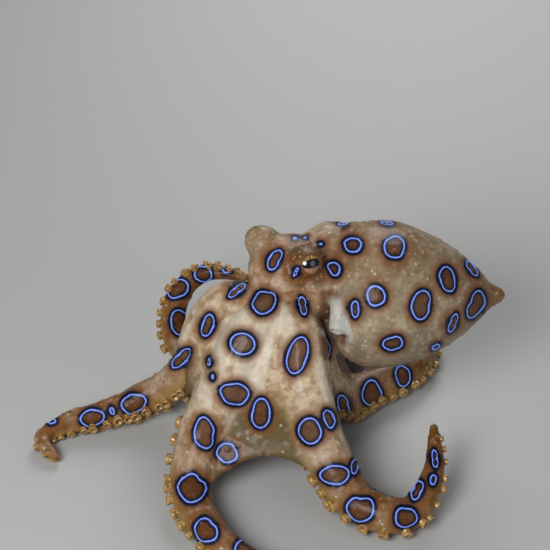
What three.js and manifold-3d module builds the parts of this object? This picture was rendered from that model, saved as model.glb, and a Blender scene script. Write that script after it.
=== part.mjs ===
// A blue ringed octopus, life size, standing on its arms with the mantle held up to the right.
// Millimetres, +Z up, floor at Z = 0, +X to the viewer's right and +Y away from the viewer.
import * as THREE from "three";
import { mergeGeometries, mergeVertices } from "three/addons/utils/BufferGeometryUtils.js";
import Module from "manifold-3d";

const wasm = await Module();
wasm.setup();

// Gap kept between two nodes that touch, and the floor
const GAP = 0.3;
const FLOOR_Z = 0;
const GRAZE_VOLUME = 0.05;
const SAME_POINT = 1e-4;
const NEAR_POINT = 2e-3;
// What counts as a sliver, and how often they are looked for
const SHORT_EDGE = 0.06;
const SLIVER_HEIGHT = 0.02;
const SLIVER_AREA = 0.002;
const SLIVER_PASSES = 14;

// Arms: radius at root and tip, how the taper runs, and the faces of the solid
const ARM_ROOT_RADIUS = 6.1;
const ARM_TIP_RADIUS = 1.2;
const ARM_TAPER = 2.6;
const ARM_SIDES = 12;
const ARM_STEPS = 23;
const ARM_REST_LIFT = 0.6;

// Ridge under each arm, out to the tip, as wide and high as the two rows of suckers there
const RIDGE_HALF_WIDTH = THREE.MathUtils.degToRad(30);
const RIDGE_BASE_HEIGHT = 0.24;
const RIDGE_ARM_SHARE = 0.17;
const RIDGE_START = 0.08;
const RIDGE_FULL = 0.2;

// Shares of an arm's length at which one length ends and the next starts
const CROWN_CUT = 0.225;
const LENGTH_CUTS = [0.51, 0.76];
const LENGTH_NAMES = ["upper", "middle", "tip"];

// Crown: the thick ring that the arms grow from
const CROWN_CENTRE = new THREE.Vector3(0, -5, 34.5);
const CROWN_RADII = new THREE.Vector3(11, 11.5, 9);

// Web between neighbouring arms
const WEB_THICKNESS = 1.3;
const WEB_STEPS = 5;
const WEB_START = 0.1;
const WEB_AT_ARM = 0.56;
const WEB_RISE = 0.4;
const WEB_BULGE = 1.2;

// Head, eyes and neck
const HEAD_CENTRE = new THREE.Vector3(3.6, 3.2, 44.5);
const HEAD_RADII = new THREE.Vector3(10.4, 9.6, 8.6);
const EYE_RADIUS = 3.4;
const EYE_BUMP_RADIUS = 4.5;
const EYE_LID_RADIUS = 3.0;
const EYE_LID_THICKNESS = 0.75;
const EYES = [
  { name: "eye_left", centre: [7.4, -1.2, 49.6], looks: [0.35, -0.75, 0.56] },
  { name: "eye_right", centre: [-3.0, 7.2, 49.6], looks: [-0.75, 0.5, 0.42] },
];

// Mantle: distance along its axis from the front, and radius there
const MANTLE_FRONT = new THREE.Vector3(12.5, -1.0, 39.8);
const MANTLE_TIP = new THREE.Vector3(59.0, 2.2, 36.8);
const MANTLE_PROFILE = [
  [0, 0], [1.2, 9.5], [4.5, 15.2], [9, 18.0], [14, 18.7], [20, 17.8],
  [27, 15.0], [33.5, 11.2], [39, 6.6], [42.3, 3.1], [45, 1.9], [46.6, 0],
];
const MANTLE_SIDES = 24;
const MANTLE_STEPS = 18;
// The mantle's back runs forward over the neck, and its edge stands open over the funnel
const NAPE_CENTRE = new THREE.Vector3(15, 8.2, 42.8);
const NAPE_RADII = new THREE.Vector3(10.4, 10.2, 10.2);
const OPENING_CENTRE = new THREE.Vector3(12.2, -13.5, 40.5);
const OPENING_RADII = new THREE.Vector3(5.6, 7.5, 8);

// Funnel: a short cone under the mantle's edge
const FUNNEL_ROOT = new THREE.Vector3(17.2, -8.0, 45.0);
const FUNNEL_MOUTH = new THREE.Vector3(15.4, -14.8, 38.8);
const FUNNEL_ROOT_RADIUS = 4.2;
const FUNNEL_MOUTH_RADIUS = 2.7;
const FUNNEL_BORE_RADIUS = 1.7;
const FUNNEL_BORE_DEPTH = 3.0;

// Each arm: its route from the crown to the tip, and which way its suckers face at the
// root, the middle and the tip. A point under the arm's own radius is lifted on to the floor.
const ARMS = [
  {
    name: "arm_left_1",
    girth: 1,
    route: [
      [0, -6, 38], [-5.7, -11.9, 36], [-11.7, -18.5, 27], [-18, -24.4, 15], [-20.9, -33, 7],
      [-19.9, -41, 0], [-16.2, -48.7, 0], [-10.6, -55, 0], [-3, -58.8, 0], [8.4, -57.5, 0],
    ],
    oral: [[0.6, 0.3, -0.7], [-0.75, -0.1, -0.65], [-0.2, -0.75, -0.6]],
  },
  {
    name: "arm_left_2",
    girth: 1,
    route: [
      [4, -7, 38], [6.7, -14.5, 35], [7.6, -20.6, 28], [11, -27, 16], [16.2, -35, 8],
      [22.8, -42.4, 0], [29.5, -44.4, 0], [35.5, -41, 5.6], [39.5, -32.5, 9], [40, -21.5, 13],
    ],
    oral: [[-0.3, 0.5, -0.8], [-0.55, -0.35, -0.75], [0.85, -0.3, -0.45]],
  },
  {
    name: "arm_left_3",
    girth: 0.88,
    route: [
      [6, -6, 36], [9.5, -9.6, 27], [13, -9.6, 17.5], [17.6, -4.4, 8], [24, 1.8, 0],
      [35, 9.2, 0], [40.5, 17, 0], [41.8, 28, 0], [39, 41, 0],
    ],
    oral: [[-0.6, 0.2, -0.7], [0.3, -0.6, -0.75], [0.75, 0, -0.65]],
  },
  {
    name: "arm_left_4",
    girth: 0.9,
    route: [
      [5, -3, 36], [10.6, 3.8, 25.5], [15.8, 12, 16], [21, 21, 7.5], [25.5, 30, 0],
      [27, 39, 0], [29.5, 48, 0], [36, 57, 0],
    ],
    oral: [[-0.6, -0.3, -0.7], [-0.1, -0.35, -0.9], [0.6, -0.3, -0.7]],
  },
  {
    name: "arm_right_4",
    girth: 0.9,
    route: [
      [2, 0, 36], [4.6, 11.8, 25.5], [7.6, 21.8, 16], [11, 31, 7.5], [15, 40, 0],
      [19, 49, 0], [22, 58, 0], [28, 67, 0],
    ],
    oral: [[-0.1, -0.7, -0.7], [0.1, -0.3, -0.9], [0.5, -0.4, -0.7]],
  },
  {
    name: "arm_right_3",
    girth: 0.9,
    route: [
      [-2, 0, 36], [-5, 12, 24.5], [-7, 21.5, 13.5], [-6.6, 31, 5.5], [-4, 41.5, 0],
      [1, 51, 0], [6, 59.5, 0], [12, 66.5, 0],
    ],
    oral: [[0.2, -0.7, -0.7], [-0.1, -0.3, -0.9], [-0.5, 0.3, -0.75]],
  },
  {
    name: "arm_right_2",
    girth: 0.76,
    route: [
      [-4, -1.5, 36], [-11, 4, 26.5], [-14.2, 7.5, 18], [-16, 10.4, 11.5], [-18.8, 13, 7],
      [-22.5, 15.3, 5.6], [-25.8, 17.2, 8.2], [-27.3, 18.6, 13.8], [-26.6, 19.8, 20.4],
      [-23, 20.8, 26.4], [-17, 20.4, 30.2], [-7.8, 17.8, 30.4],
    ],
    oral: [[0.6, -0.5, -0.6], [-0.5, -0.1, -0.8], [-0.25, 0.45, 0.85]],
  },
  {
    name: "arm_right_1",
    girth: 0.85,
    route: [
      [-4, -4, 38.5], [-12, -0.8, 37], [-18, -1.6, 30], [-21.5, -3.4, 19.5], [-27.5, -2.2, 10],
      [-36, -3.6, 6], [-46, -7, 0], [-55, -9.8, 0], [-60.2, -14.6, 0], [-56, -20.6, 0],
    ],
    oral: [[0.7, -0.1, -0.7], [0.1, -0.75, -0.65], [-0.5, -0.55, -0.65]],
  },
];
// How far the web reaches half way between an arm and the next one in the list
const WEB_AT_MIDDLE = [0.43, 0.27, 0.34, 0.36, 0.36, 0.36, 0.36, 0.4];

const COLOURS = {
  flesh: 0xc9a386,
  arm: 0xc08a4e,
  web: 0xa8895c,
  eye: 0x6f5a2e,
  funnel: 0xd8d2c6,
};

function material(colour, roughness) {
  return new THREE.MeshStandardMaterial({ color: colour, roughness, metalness: 0 });
}

// Closed mesh with merged vertices, as a solid that can be joined and cut
function solidOf(geometry, reach = SAME_POINT) {
  const bare = geometry.index ? geometry.toNonIndexed() : geometry.clone();
  for (const name of Object.keys(bare.attributes)) {
    if (name !== "position") bare.deleteAttribute(name);
  }
  const merged = mergeVertices(bare, reach);
  const corners = merged.index.array;
  const kept = [];
  for (let first = 0; first < corners.length; first += 3) {
    const [a, b, c] = corners.slice(first, first + 3);
    if (a !== b && b !== c && c !== a) kept.push(a, b, c);
  }
  return new wasm.Manifold(new wasm.Mesh({
    numProp: 3,
    vertProperties: new Float32Array(merged.attributes.position.array),
    triVerts: new Uint32Array(kept),
  }));
}

function largestBody(solid) {
  const bodies = solid.decompose();
  let largest = bodies[0];
  for (const body of bodies) {
    if (body.volume() > largest.volume()) largest = body;
  }
  return largest;
}

function meshGeometry(solid) {
  const mesh = solid.getMesh();
  const geometry = new THREE.BufferGeometry();
  geometry.setAttribute("position", new THREE.BufferAttribute(mesh.vertProperties, 3));
  geometry.setIndex(new THREE.BufferAttribute(mesh.triVerts, 1));
  return geometry;
}

function triangleNormal(points, [a, b, c]) {
  const one = points[b].clone().sub(points[a]);
  return one.cross(points[c].clone().sub(points[a]));
}

// Height of a triangle over its longest edge, and which corner stands opposite that edge
function leastHeight(points, corners) {
  const lengths = corners.map((corner, place) => (
    points[corners[(place + 1) % 3]].distanceTo(points[corners[(place + 2) % 3]])));
  const longest = Math.max(...lengths);
  const height = triangleNormal(points, corners).length() / longest;
  return { height, apex: lengths.indexOf(longest) };
}

// Closes the very short edges that a cut leaves, and turns the edge under each flat sliver
function withoutSlivers(geometry) {
  const places = geometry.attributes.position;
  const points = [];
  for (let k = 0; k < places.count; k += 1) {
    points.push(new THREE.Vector3().fromBufferAttribute(places, k));
  }
  const index = geometry.index.array;
  let faces = [];
  for (let k = 0; k < index.length; k += 3) faces.push([...index.slice(k, k + 3)]);
  const facesRound = () => {
    const round = points.map(() => new Set());
    faces.forEach((face, number) => face.forEach((corner) => round[corner].add(number)));
    return round;
  };
  const neighbours = (round, point) => {
    const all = new Set();
    round[point].forEach((number) => faces[number].forEach((corner) => all.add(corner)));
    all.delete(point);
    return all;
  };
  const keepsShape = (round, gone, kept) => [...round[gone]].every((number) => {
    const face = faces[number];
    if (face.includes(kept)) return true;
    const before = triangleNormal(points, face);
    const after = triangleNormal(points, face.map((corner) => (corner === gone ? kept : corner)));
    return before.length() < SLIVER_AREA || before.dot(after) > 0;
  });
  for (let pass = 0; pass < SLIVER_PASSES; pass += 1) {
    const round = facesRound();
    const touched = new Set();
    const dropped = new Set();
    faces.forEach((face) => {
      for (let k = 0; k < 3; k += 1) {
        const [a, b] = [face[k], face[(k + 1) % 3]];
        const near = points[a].distanceTo(points[b]) < SHORT_EDGE;
        if (!near || touched.has(a) || touched.has(b)) continue;
        const nearB = neighbours(round, b);
        const shared = [...neighbours(round, a)].filter((corner) => nearB.has(corner));
        if (shared.length !== 2) continue;
        let [gone, kept] = [b, a];
        if (!keepsShape(round, gone, kept)) [gone, kept] = [a, b];
        if (!keepsShape(round, gone, kept)) continue;
        [...neighbours(round, a), ...nearB, a, b].forEach((corner) => touched.add(corner));
        round[gone].forEach((number) => {
          if (faces[number].includes(kept)) dropped.add(number);
          faces[number] = faces[number].map((corner) => (corner === gone ? kept : corner));
        });
        return;
      }
    });
    faces = faces.filter((face, number) => !dropped.has(number));
    const again = facesRound();
    const turned = new Set();
    faces.forEach((face, number) => {
      const { height, apex } = leastHeight(points, face);
      if (height > SLIVER_HEIGHT || turned.has(number)) return;
      const [top, u, v] = [face[apex], face[(apex + 1) % 3], face[(apex + 2) % 3]];
      const other = [...again[u]].find((n) => n !== number && again[v].has(n));
      if (other === undefined || turned.has(other)) return;
      const far = faces[other].find((corner) => corner !== u && corner !== v);
      if (neighbours(again, top).has(far)) return;
      [top, u, v, far].forEach((corner) => again[corner].forEach((n) => turned.add(n)));
      faces[number] = [top, u, far];
      faces[other] = [top, far, v];
    });
  }
  const used = new Map();
  const positions = [];
  const corners = faces.flat().map((corner) => {
    if (!used.has(corner)) {
      used.set(corner, used.size);
      positions.push(points[corner]);
    }
    return used.get(corner);
  });
  const tidy = new THREE.BufferGeometry().setFromPoints(positions);
  tidy.setIndex(corners);
  return tidy;
}

// The largest closed body of a solid, also once points that nearly touch are merged
function geometryOf(solid) {
  const body = largestBody(solidOf(meshGeometry(largestBody(solid)), NEAR_POINT));
  const geometry = withoutSlivers(meshGeometry(body));
  geometry.computeVertexNormals();
  return geometry;
}

function joined(solids) {
  return solids.reduce((whole, solid) => whole.add(solid));
}

// Takes the tools away from a solid, leaving out those that only graze it
function cut(solid, tools) {
  return tools.reduce((left, tool) => {
    const grazes = left.intersect(tool).volume() < GRAZE_VOLUME;
    return grazes ? left : left.subtract(tool);
  }, solid);
}

// Closed skin over rings of points, each ring the same count, with a fan at both ends
function skinOver(rings) {
  const sides = rings[0].length;
  const points = rings.flat();
  const faces = [];
  for (let ring = 0; ring + 1 < rings.length; ring += 1) {
    for (let side = 0; side < sides; side += 1) {
      const next = (side + 1) % sides;
      const a = ring * sides + side;
      const b = ring * sides + next;
      faces.push(a, b, b + sides, a, b + sides, a + sides);
    }
  }
  const middleOf = (ring) => ring
    .reduce((sum, point) => sum.add(point), new THREE.Vector3())
    .divideScalar(sides);
  const start = points.length;
  points.push(middleOf(rings[0]), middleOf(rings.at(-1)));
  const last = (rings.length - 1) * sides;
  for (let side = 0; side < sides; side += 1) {
    const next = (side + 1) % sides;
    faces.push(start, next, side);
    faces.push(start + 1, last + side, last + next);
  }
  const geometry = new THREE.BufferGeometry().setFromPoints(points);
  geometry.setIndex(faces);
  return geometry;
}

function onOrAboveFloor(point) {
  point.z = Math.max(point.z, FLOOR_Z);
  return point;
}

function ellipsoid(centre, radii, across, down, extra = 0) {
  const geometry = new THREE.SphereGeometry(1, across, down);
  geometry.scale(radii.x + extra, radii.y + extra, radii.z + extra);
  geometry.translate(centre.x, centre.y, centre.z);
  return solidOf(geometry);
}

function ball(centre, radius, across, down) {
  return ellipsoid(centre, new THREE.Vector3(radius, radius, radius), across, down);
}

// Lathe turned about +Y, laid along the line from one point towards another
function latheAlong(profile, sides, from, to) {
  const geometry = new THREE.LatheGeometry(profile, sides);
  const direction = to.clone().sub(from).normalize();
  const turn = new THREE.Quaternion().setFromUnitVectors(new THREE.Vector3(0, 1, 0), direction);
  geometry.applyQuaternion(turn);
  geometry.translate(from.x, from.y, from.z);
  return solidOf(geometry);
}

function armRadius(arm, share) {
  const root = ARM_ROOT_RADIUS * arm.girth;
  return ARM_TIP_RADIUS + (root - ARM_TIP_RADIUS) * (1 - share ** ARM_TAPER);
}

// Place, run and sucker side of an arm at a share of its length
function armStation(arm, share) {
  const centre = arm.curve.getPointAt(share);
  const radius = armRadius(arm, share);
  centre.z = Math.max(centre.z, FLOOR_Z + radius + ARM_REST_LIFT);
  const along = arm.curve.getTangentAt(share);
  const [root, middle, tip] = arm.oral;
  const oral = share < 0.5
    ? root.clone().lerp(middle, share * 2)
    : middle.clone().lerp(tip, share * 2 - 1);
  oral.addScaledVector(along, -oral.dot(along)).normalize();
  const side = new THREE.Vector3().crossVectors(along, oral);
  return { centre, radius, along, oral, side };
}

function directionAt(station, angle) {
  return station.oral.clone()
    .multiplyScalar(Math.cos(angle))
    .addScaledVector(station.side, Math.sin(angle));
}

// How far the ridge under an arm stands out. It takes the place of the two rows of suckers
function ridgeHeight(radius, share, angle) {
  const turn = THREE.MathUtils.euclideanModulo(angle + Math.PI, Math.PI * 2) - Math.PI;
  const across = THREE.MathUtils.smoothstep(Math.abs(turn), RIDGE_HALF_WIDTH, RIDGE_HALF_WIDTH * 2);
  const grown = THREE.MathUtils.smoothstep(share, RIDGE_START, RIDGE_FULL);
  return (1 - across) * grown * (RIDGE_BASE_HEIGHT + RIDGE_ARM_SHARE * radius);
}

function armRing(arm, share, extra) {
  const station = armStation(arm, share);
  const ring = [];
  for (let side = 0; side < ARM_SIDES; side += 1) {
    const angle = side / ARM_SIDES * Math.PI * 2;
    const reach = station.radius + ridgeHeight(station.radius, share, angle) + extra;
    ring.push(onOrAboveFloor(station.centre.clone()
      .addScaledVector(directionAt(station, angle), reach)));
  }
  return ring;
}

// A length of an arm's tube between two shares, with a rounded end where it is the tip
function armTube(arm, from, to, extra = 0) {
  const near = 0.3 / ARM_STEPS;
  const shares = ringShares().filter((share) => share > from + near && share < to - near);
  const rings = [from, ...shares, to].map((share) => armRing(arm, share, extra));
  if (to === 1) {
    const end = armStation(arm, 1);
    const tipRing = armRing(arm, 1, 0).map((point) => point
      .lerp(end.centre, 0.45)
      .addScaledVector(end.along, end.radius * 0.8 + extra));
    rings.push(tipRing.map(onOrAboveFloor));
  }
  return solidOf(skinOver(rings));
}

// Where every tube of an arm has a ring, so that two tubes of one arm have the same faces
function ringShares() {
  const cuts = [CROWN_CUT, ...LENGTH_CUTS];
  const even = [];
  for (let step = 0; step <= ARM_STEPS; step += 1) {
    const share = step / ARM_STEPS;
    if (cuts.every((place) => Math.abs(place - share) > 0.3 / ARM_STEPS)) even.push(share);
  }
  return [...even, ...cuts].sort((a, b) => a - b);
}

// Thin sheet between two arms, with the same triangles on both faces
function web(arm, nextArm, atMiddle) {
  const steps = WEB_STEPS;
  const middle = [];
  for (let across = 0; across <= steps; across += 1) {
    const u = across / steps;
    const arch = Math.sin(Math.PI * u);
    const end = WEB_AT_ARM + (atMiddle - WEB_AT_ARM) * arch ** 0.8;
    for (let out = 0; out <= steps; out += 1) {
      const share = WEB_START + (end - WEB_START) * out / steps;
      const one = armStation(arm, share);
      const two = armStation(nextArm, share);
      const point = one.centre.clone().lerp(two.centre, u);
      const back = one.oral.clone().add(two.oral).normalize();
      const rise = WEB_RISE * (one.radius + two.radius) / 2;
      point.addScaledVector(back, -rise - WEB_BULGE * arch);
      point.z = Math.max(point.z, FLOOR_Z + WEB_THICKNESS);
      middle.push(point);
    }
  }
  const row = steps + 1;
  const at = (across, out) => middle[across * row + out];
  const clamp = (value) => Math.min(Math.max(value, 0), steps);
  const faces = [];
  const points = [];
  for (const sign of [1, -1]) {
    for (let across = 0; across <= steps; across += 1) {
      for (let out = 0; out <= steps; out += 1) {
        const alongU = at(clamp(across + 1), out).clone().sub(at(clamp(across - 1), out));
        const alongW = at(across, clamp(out + 1)).clone().sub(at(across, clamp(out - 1)));
        const normal = alongU.cross(alongW).normalize();
        points.push(at(across, out).clone().addScaledVector(normal, sign * WEB_THICKNESS / 2));
      }
    }
  }
  const under = row * row;
  const quad = (a, b, c, d) => faces.push(a, b, c, a, c, d);
  for (let across = 0; across < steps; across += 1) {
    for (let out = 0; out < steps; out += 1) {
      const a = across * row + out;
      faces.push(a, a + row, a + row + 1, a, a + row + 1, a + 1);
      faces.push(under + a, under + a + row + 1, under + a + row);
      faces.push(under + a, under + a + 1, under + a + row + 1);
    }
  }
  const rim = [];
  for (let out = 0; out < steps; out += 1) rim.push(out);
  for (let across = 0; across < steps; across += 1) rim.push(across * row + steps);
  for (let out = steps; out > 0; out -= 1) rim.push(steps * row + out);
  for (let across = steps; across > 0; across -= 1) rim.push(across * row);
  rim.forEach((a, place) => {
    const b = rim[(place + 1) % rim.length];
    quad(a, b, under + b, under + a);
  });
  const geometry = new THREE.BufferGeometry().setFromPoints(points);
  geometry.setIndex(faces);
  return solidOf(geometry);
}

function lidRing(eye) {
  const geometry = new THREE.TorusGeometry(EYE_LID_RADIUS, EYE_LID_THICKNESS, 6, 12);
  const turn = new THREE.Quaternion()
    .setFromUnitVectors(new THREE.Vector3(0, 0, 1), eye.looks);
  geometry.applyQuaternion(turn);
  const place = eye.centre.clone().addScaledVector(eye.looks, EYE_RADIUS * 0.55);
  geometry.translate(place.x, place.y, place.z);
  return solidOf(geometry);
}

const octopus = new THREE.Group();
octopus.name = "blue_ringed_octopus";

function addNode(name, solid, colour, roughness = 0.35) {
  const mesh = new THREE.Mesh(geometryOf(solid), material(colour, roughness));
  mesh.name = name;
  octopus.add(mesh);
}

for (const arm of ARMS) {
  arm.curve = new THREE.CatmullRomCurve3(arm.route.map((point) => new THREE.Vector3(...point)));
  arm.oral = arm.oral.map((way) => new THREE.Vector3(...way).normalize());
}
for (const eye of EYES) {
  eye.centre = new THREE.Vector3(...eye.centre);
  eye.looks = new THREE.Vector3(...eye.looks).normalize();
}

// Head with its eye mounds and lids, and the sockets of the two eyes
function headSolid(extra) {
  const parts = [ellipsoid(HEAD_CENTRE, HEAD_RADII, 20, 11, extra)];
  for (const eye of EYES) parts.push(ball(eye.centre, EYE_BUMP_RADIUS + extra, 14, 9));
  return joined(parts);
}

function crownSolid(extra) {
  const parts = [ellipsoid(CROWN_CENTRE, CROWN_RADII, 18, 10, extra)];
  for (const arm of ARMS) parts.push(armTube(arm, 0, CROWN_CUT, extra));
  return joined(parts);
}

function mantleSolid() {
  const outline = new THREE.SplineCurve(MANTLE_PROFILE.map(([x, r]) => new THREE.Vector2(r, x)));
  const profile = outline.getPoints(MANTLE_STEPS);
  profile.forEach((point) => { point.x = Math.max(point.x, 0); });
  profile[0].x = 0;
  profile.at(-1).x = 0;
  const body = latheAlong(profile, MANTLE_SIDES, MANTLE_FRONT, MANTLE_TIP);
  const opening = ellipsoid(OPENING_CENTRE, OPENING_RADII, 12, 8);
  return body.add(ellipsoid(NAPE_CENTRE, NAPE_RADII, 18, 10)).subtract(opening);
}

function funnelSolid(extra) {
  const length = FUNNEL_ROOT.distanceTo(FUNNEL_MOUTH);
  const profile = [
    [0, -extra], [FUNNEL_ROOT_RADIUS + extra, -extra],
    [FUNNEL_MOUTH_RADIUS + extra, length + extra],
  ];
  if (extra === 0) {
    profile.push([FUNNEL_BORE_RADIUS, length], [FUNNEL_BORE_RADIUS, length - FUNNEL_BORE_DEPTH]);
    profile.push([0, length - FUNNEL_BORE_DEPTH]);
  } else {
    profile.push([0, length + extra]);
  }
  const points = profile.map(([r, x]) => new THREE.Vector2(r, x));
  return latheAlong(points, 14, FUNNEL_ROOT, FUNNEL_MOUTH);
}

const head = headSolid(0);
const headRoom = headSolid(GAP);
const crownRoom = crownSolid(GAP);
const funnelRoom = funnelSolid(GAP);

const sockets = EYES.map((eye) => ball(eye.centre.clone().addScaledVector(eye.looks, 1.6),
  EYE_RADIUS + GAP, 14, 10));
const lids = EYES.map(lidRing);
addNode("head", cut(joined([head, ...lids]), sockets), COLOURS.flesh);
for (const eye of EYES) {
  addNode(eye.name, ball(eye.centre.clone().addScaledVector(eye.looks, 1.6), EYE_RADIUS, 14, 10),
    COLOURS.eye, 0.1);
}
addNode("mantle", cut(mantleSolid(), [headRoom, funnelRoom, crownRoom]), COLOURS.flesh);
addNode("funnel", cut(funnelSolid(0), [headRoom, crownRoom]), COLOURS.funnel);
addNode("arm_crown", cut(crownSolid(0), [headRoom]), COLOURS.flesh);

// The room that each arm takes from the web and from the next arm
const armRooms = ARMS.map((arm) => armTube(arm, 0, 1, GAP));
ARMS.forEach((arm, order) => {
  const before = (order + ARMS.length - 1) % ARMS.length;
  const ends = [CROWN_CUT, ...LENGTH_CUTS, 1];
  const halfGap = GAP / 2 / arm.curve.getLength();
  LENGTH_NAMES.forEach((name, place) => {
    const to = ends[place + 1];
    const tube = armTube(arm, ends[place] + halfGap, to === 1 ? 1 : to - halfGap);
    const tools = place === 0 ? [crownRoom, armRooms[before]] : [];
    addNode(`${arm.name}_${name}`, cut(tube, tools), COLOURS.arm);
  });
});

ARMS.forEach((arm, place) => {
  const next = (place + 1) % ARMS.length;
  const sheet = web(arm, ARMS[next], WEB_AT_MIDDLE[place]);
  const tools = [crownRoom, headRoom, armRooms[place], armRooms[next]];
  addNode(`web_${place + 1}`, cut(sheet, tools), COLOURS.web);
});

// The origin is on the floor, under the middle of the whole animal
octopus.updateMatrixWorld(true);
const middle = new THREE.Box3().setFromObject(octopus).getCenter(new THREE.Vector3());
octopus.position.set(-middle.x, -middle.y, 0);

export default octopus;
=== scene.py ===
# %% [markdown]
# # A blue ringed octopus, life size
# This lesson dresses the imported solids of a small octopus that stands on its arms, with its
# mantle held up to the right. The living animal is one soft body, so one skin is made over
# all its parts, and only the eyes and the suckers are pieces of their own. The rings are
# measured on that skin as distances, which keeps their thin blue lines sharp.

# %% Load the solids
import math
import random

import bmesh
import bpy
import numpy as np
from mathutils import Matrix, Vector, noise
from mathutils.bvhtree import BVHTree
from mathutils.kdtree import KDTree


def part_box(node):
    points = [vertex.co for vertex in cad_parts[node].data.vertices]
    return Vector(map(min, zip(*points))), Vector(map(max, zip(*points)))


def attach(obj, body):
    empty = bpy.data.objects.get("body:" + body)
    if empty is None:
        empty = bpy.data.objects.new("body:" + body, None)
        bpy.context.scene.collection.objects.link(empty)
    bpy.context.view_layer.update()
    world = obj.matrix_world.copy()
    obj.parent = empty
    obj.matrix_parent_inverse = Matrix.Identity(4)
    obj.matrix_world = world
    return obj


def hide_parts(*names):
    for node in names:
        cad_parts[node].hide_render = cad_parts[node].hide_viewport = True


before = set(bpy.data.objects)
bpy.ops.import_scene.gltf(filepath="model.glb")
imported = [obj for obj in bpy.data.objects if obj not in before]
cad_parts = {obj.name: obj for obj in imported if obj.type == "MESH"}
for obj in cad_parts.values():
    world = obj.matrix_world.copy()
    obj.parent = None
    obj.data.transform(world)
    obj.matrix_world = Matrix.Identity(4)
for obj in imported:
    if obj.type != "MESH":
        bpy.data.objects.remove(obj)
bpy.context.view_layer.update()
bpy.ops.object.select_all(action="DESELECT")

# %% [markdown]
# The routes and sizes below are worked out with the head near the origin, in millimetres.
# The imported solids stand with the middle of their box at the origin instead. The left eye is
# a ball in both, so its centre gives the shift from one to the other. An eye's place is the
# middle of its mound, and the ball stands out from there by a push along the way it looks.

# %% Units and places
MM = 0.001
EYE_RADIUS = 3.4
EYE_PUSH = 1.6
EYES = {
    "eye_left": {"centre": (7.4, -1.2, 49.6), "looks": (0.35, -0.75, 0.56)},
    "eye_right": {"centre": (-3.0, 7.2, 49.6), "looks": (-0.75, 0.5, 0.42)},
}
for eye in EYES.values():
    eye["centre"] = np.array(eye["centre"])
    eye["looks"] = np.array(eye["looks"]) / np.linalg.norm(eye["looks"])
    eye["ball"] = eye["centre"] + EYE_PUSH * eye["looks"]
low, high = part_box("eye_left")
SHIFT = np.array((low + high) / 2) / MM - EYES["eye_left"]["ball"]
print("shift in mm", SHIFT.round(2))


def placed(points):
    """Points in drawing millimetres, as metres in the frame."""
    return (np.asarray(points, float) + SHIFT) * MM


# %% [markdown]
# The camera comes first, because the rings that the photograph shows are cast on to the skin
# from it. It looks down by 38 degrees from a long way off, as a lens for small animals does,
# and four pixels of the picture are one millimetre at the head.

# %% Camera
PICTURE_PIXELS = 550
PIXELS_PER_MM = 4.0
CAMERA_ELEVATION = math.radians(38)
CAMERA_DISTANCE = 450.0
CAMERA_REACH = 20.0
SENSOR_WIDTH = 36.0
LOOK_AT = np.array((0.0, 0.0, 45.0))

VIEW_WAY = np.array((0, math.cos(CAMERA_ELEVATION), -math.sin(CAMERA_ELEVATION)))
VIEW_UP = np.array((0, math.sin(CAMERA_ELEVATION), math.cos(CAMERA_ELEVATION)))
VIEW_RIGHT = np.array((1.0, 0.0, 0.0))
EYE_POINT = LOOK_AT - VIEW_WAY * CAMERA_DISTANCE

bpy.ops.object.camera_add(location=placed(EYE_POINT),
                          rotation=(math.pi / 2 - CAMERA_ELEVATION, 0, 0))
camera = bpy.context.object
camera.name = "camera"
camera.data.sensor_width = SENSOR_WIDTH
camera.data.lens = SENSOR_WIDTH * CAMERA_DISTANCE * PIXELS_PER_MM / PICTURE_PIXELS
camera.data.clip_end = CAMERA_REACH
bpy.context.scene.camera = camera
print("lens", round(camera.data.lens, 1), "mm")


def pixel_ray(x, y):
    """Start and direction of the ray through a pixel, in drawing millimetres."""
    half = PICTURE_PIXELS / 2
    way = (VIEW_WAY * CAMERA_DISTANCE + VIEW_RIGHT * (x - half) / PIXELS_PER_MM
           + VIEW_UP * (half - y) / PIXELS_PER_MM)
    return EYE_POINT, way / np.linalg.norm(way)
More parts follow.
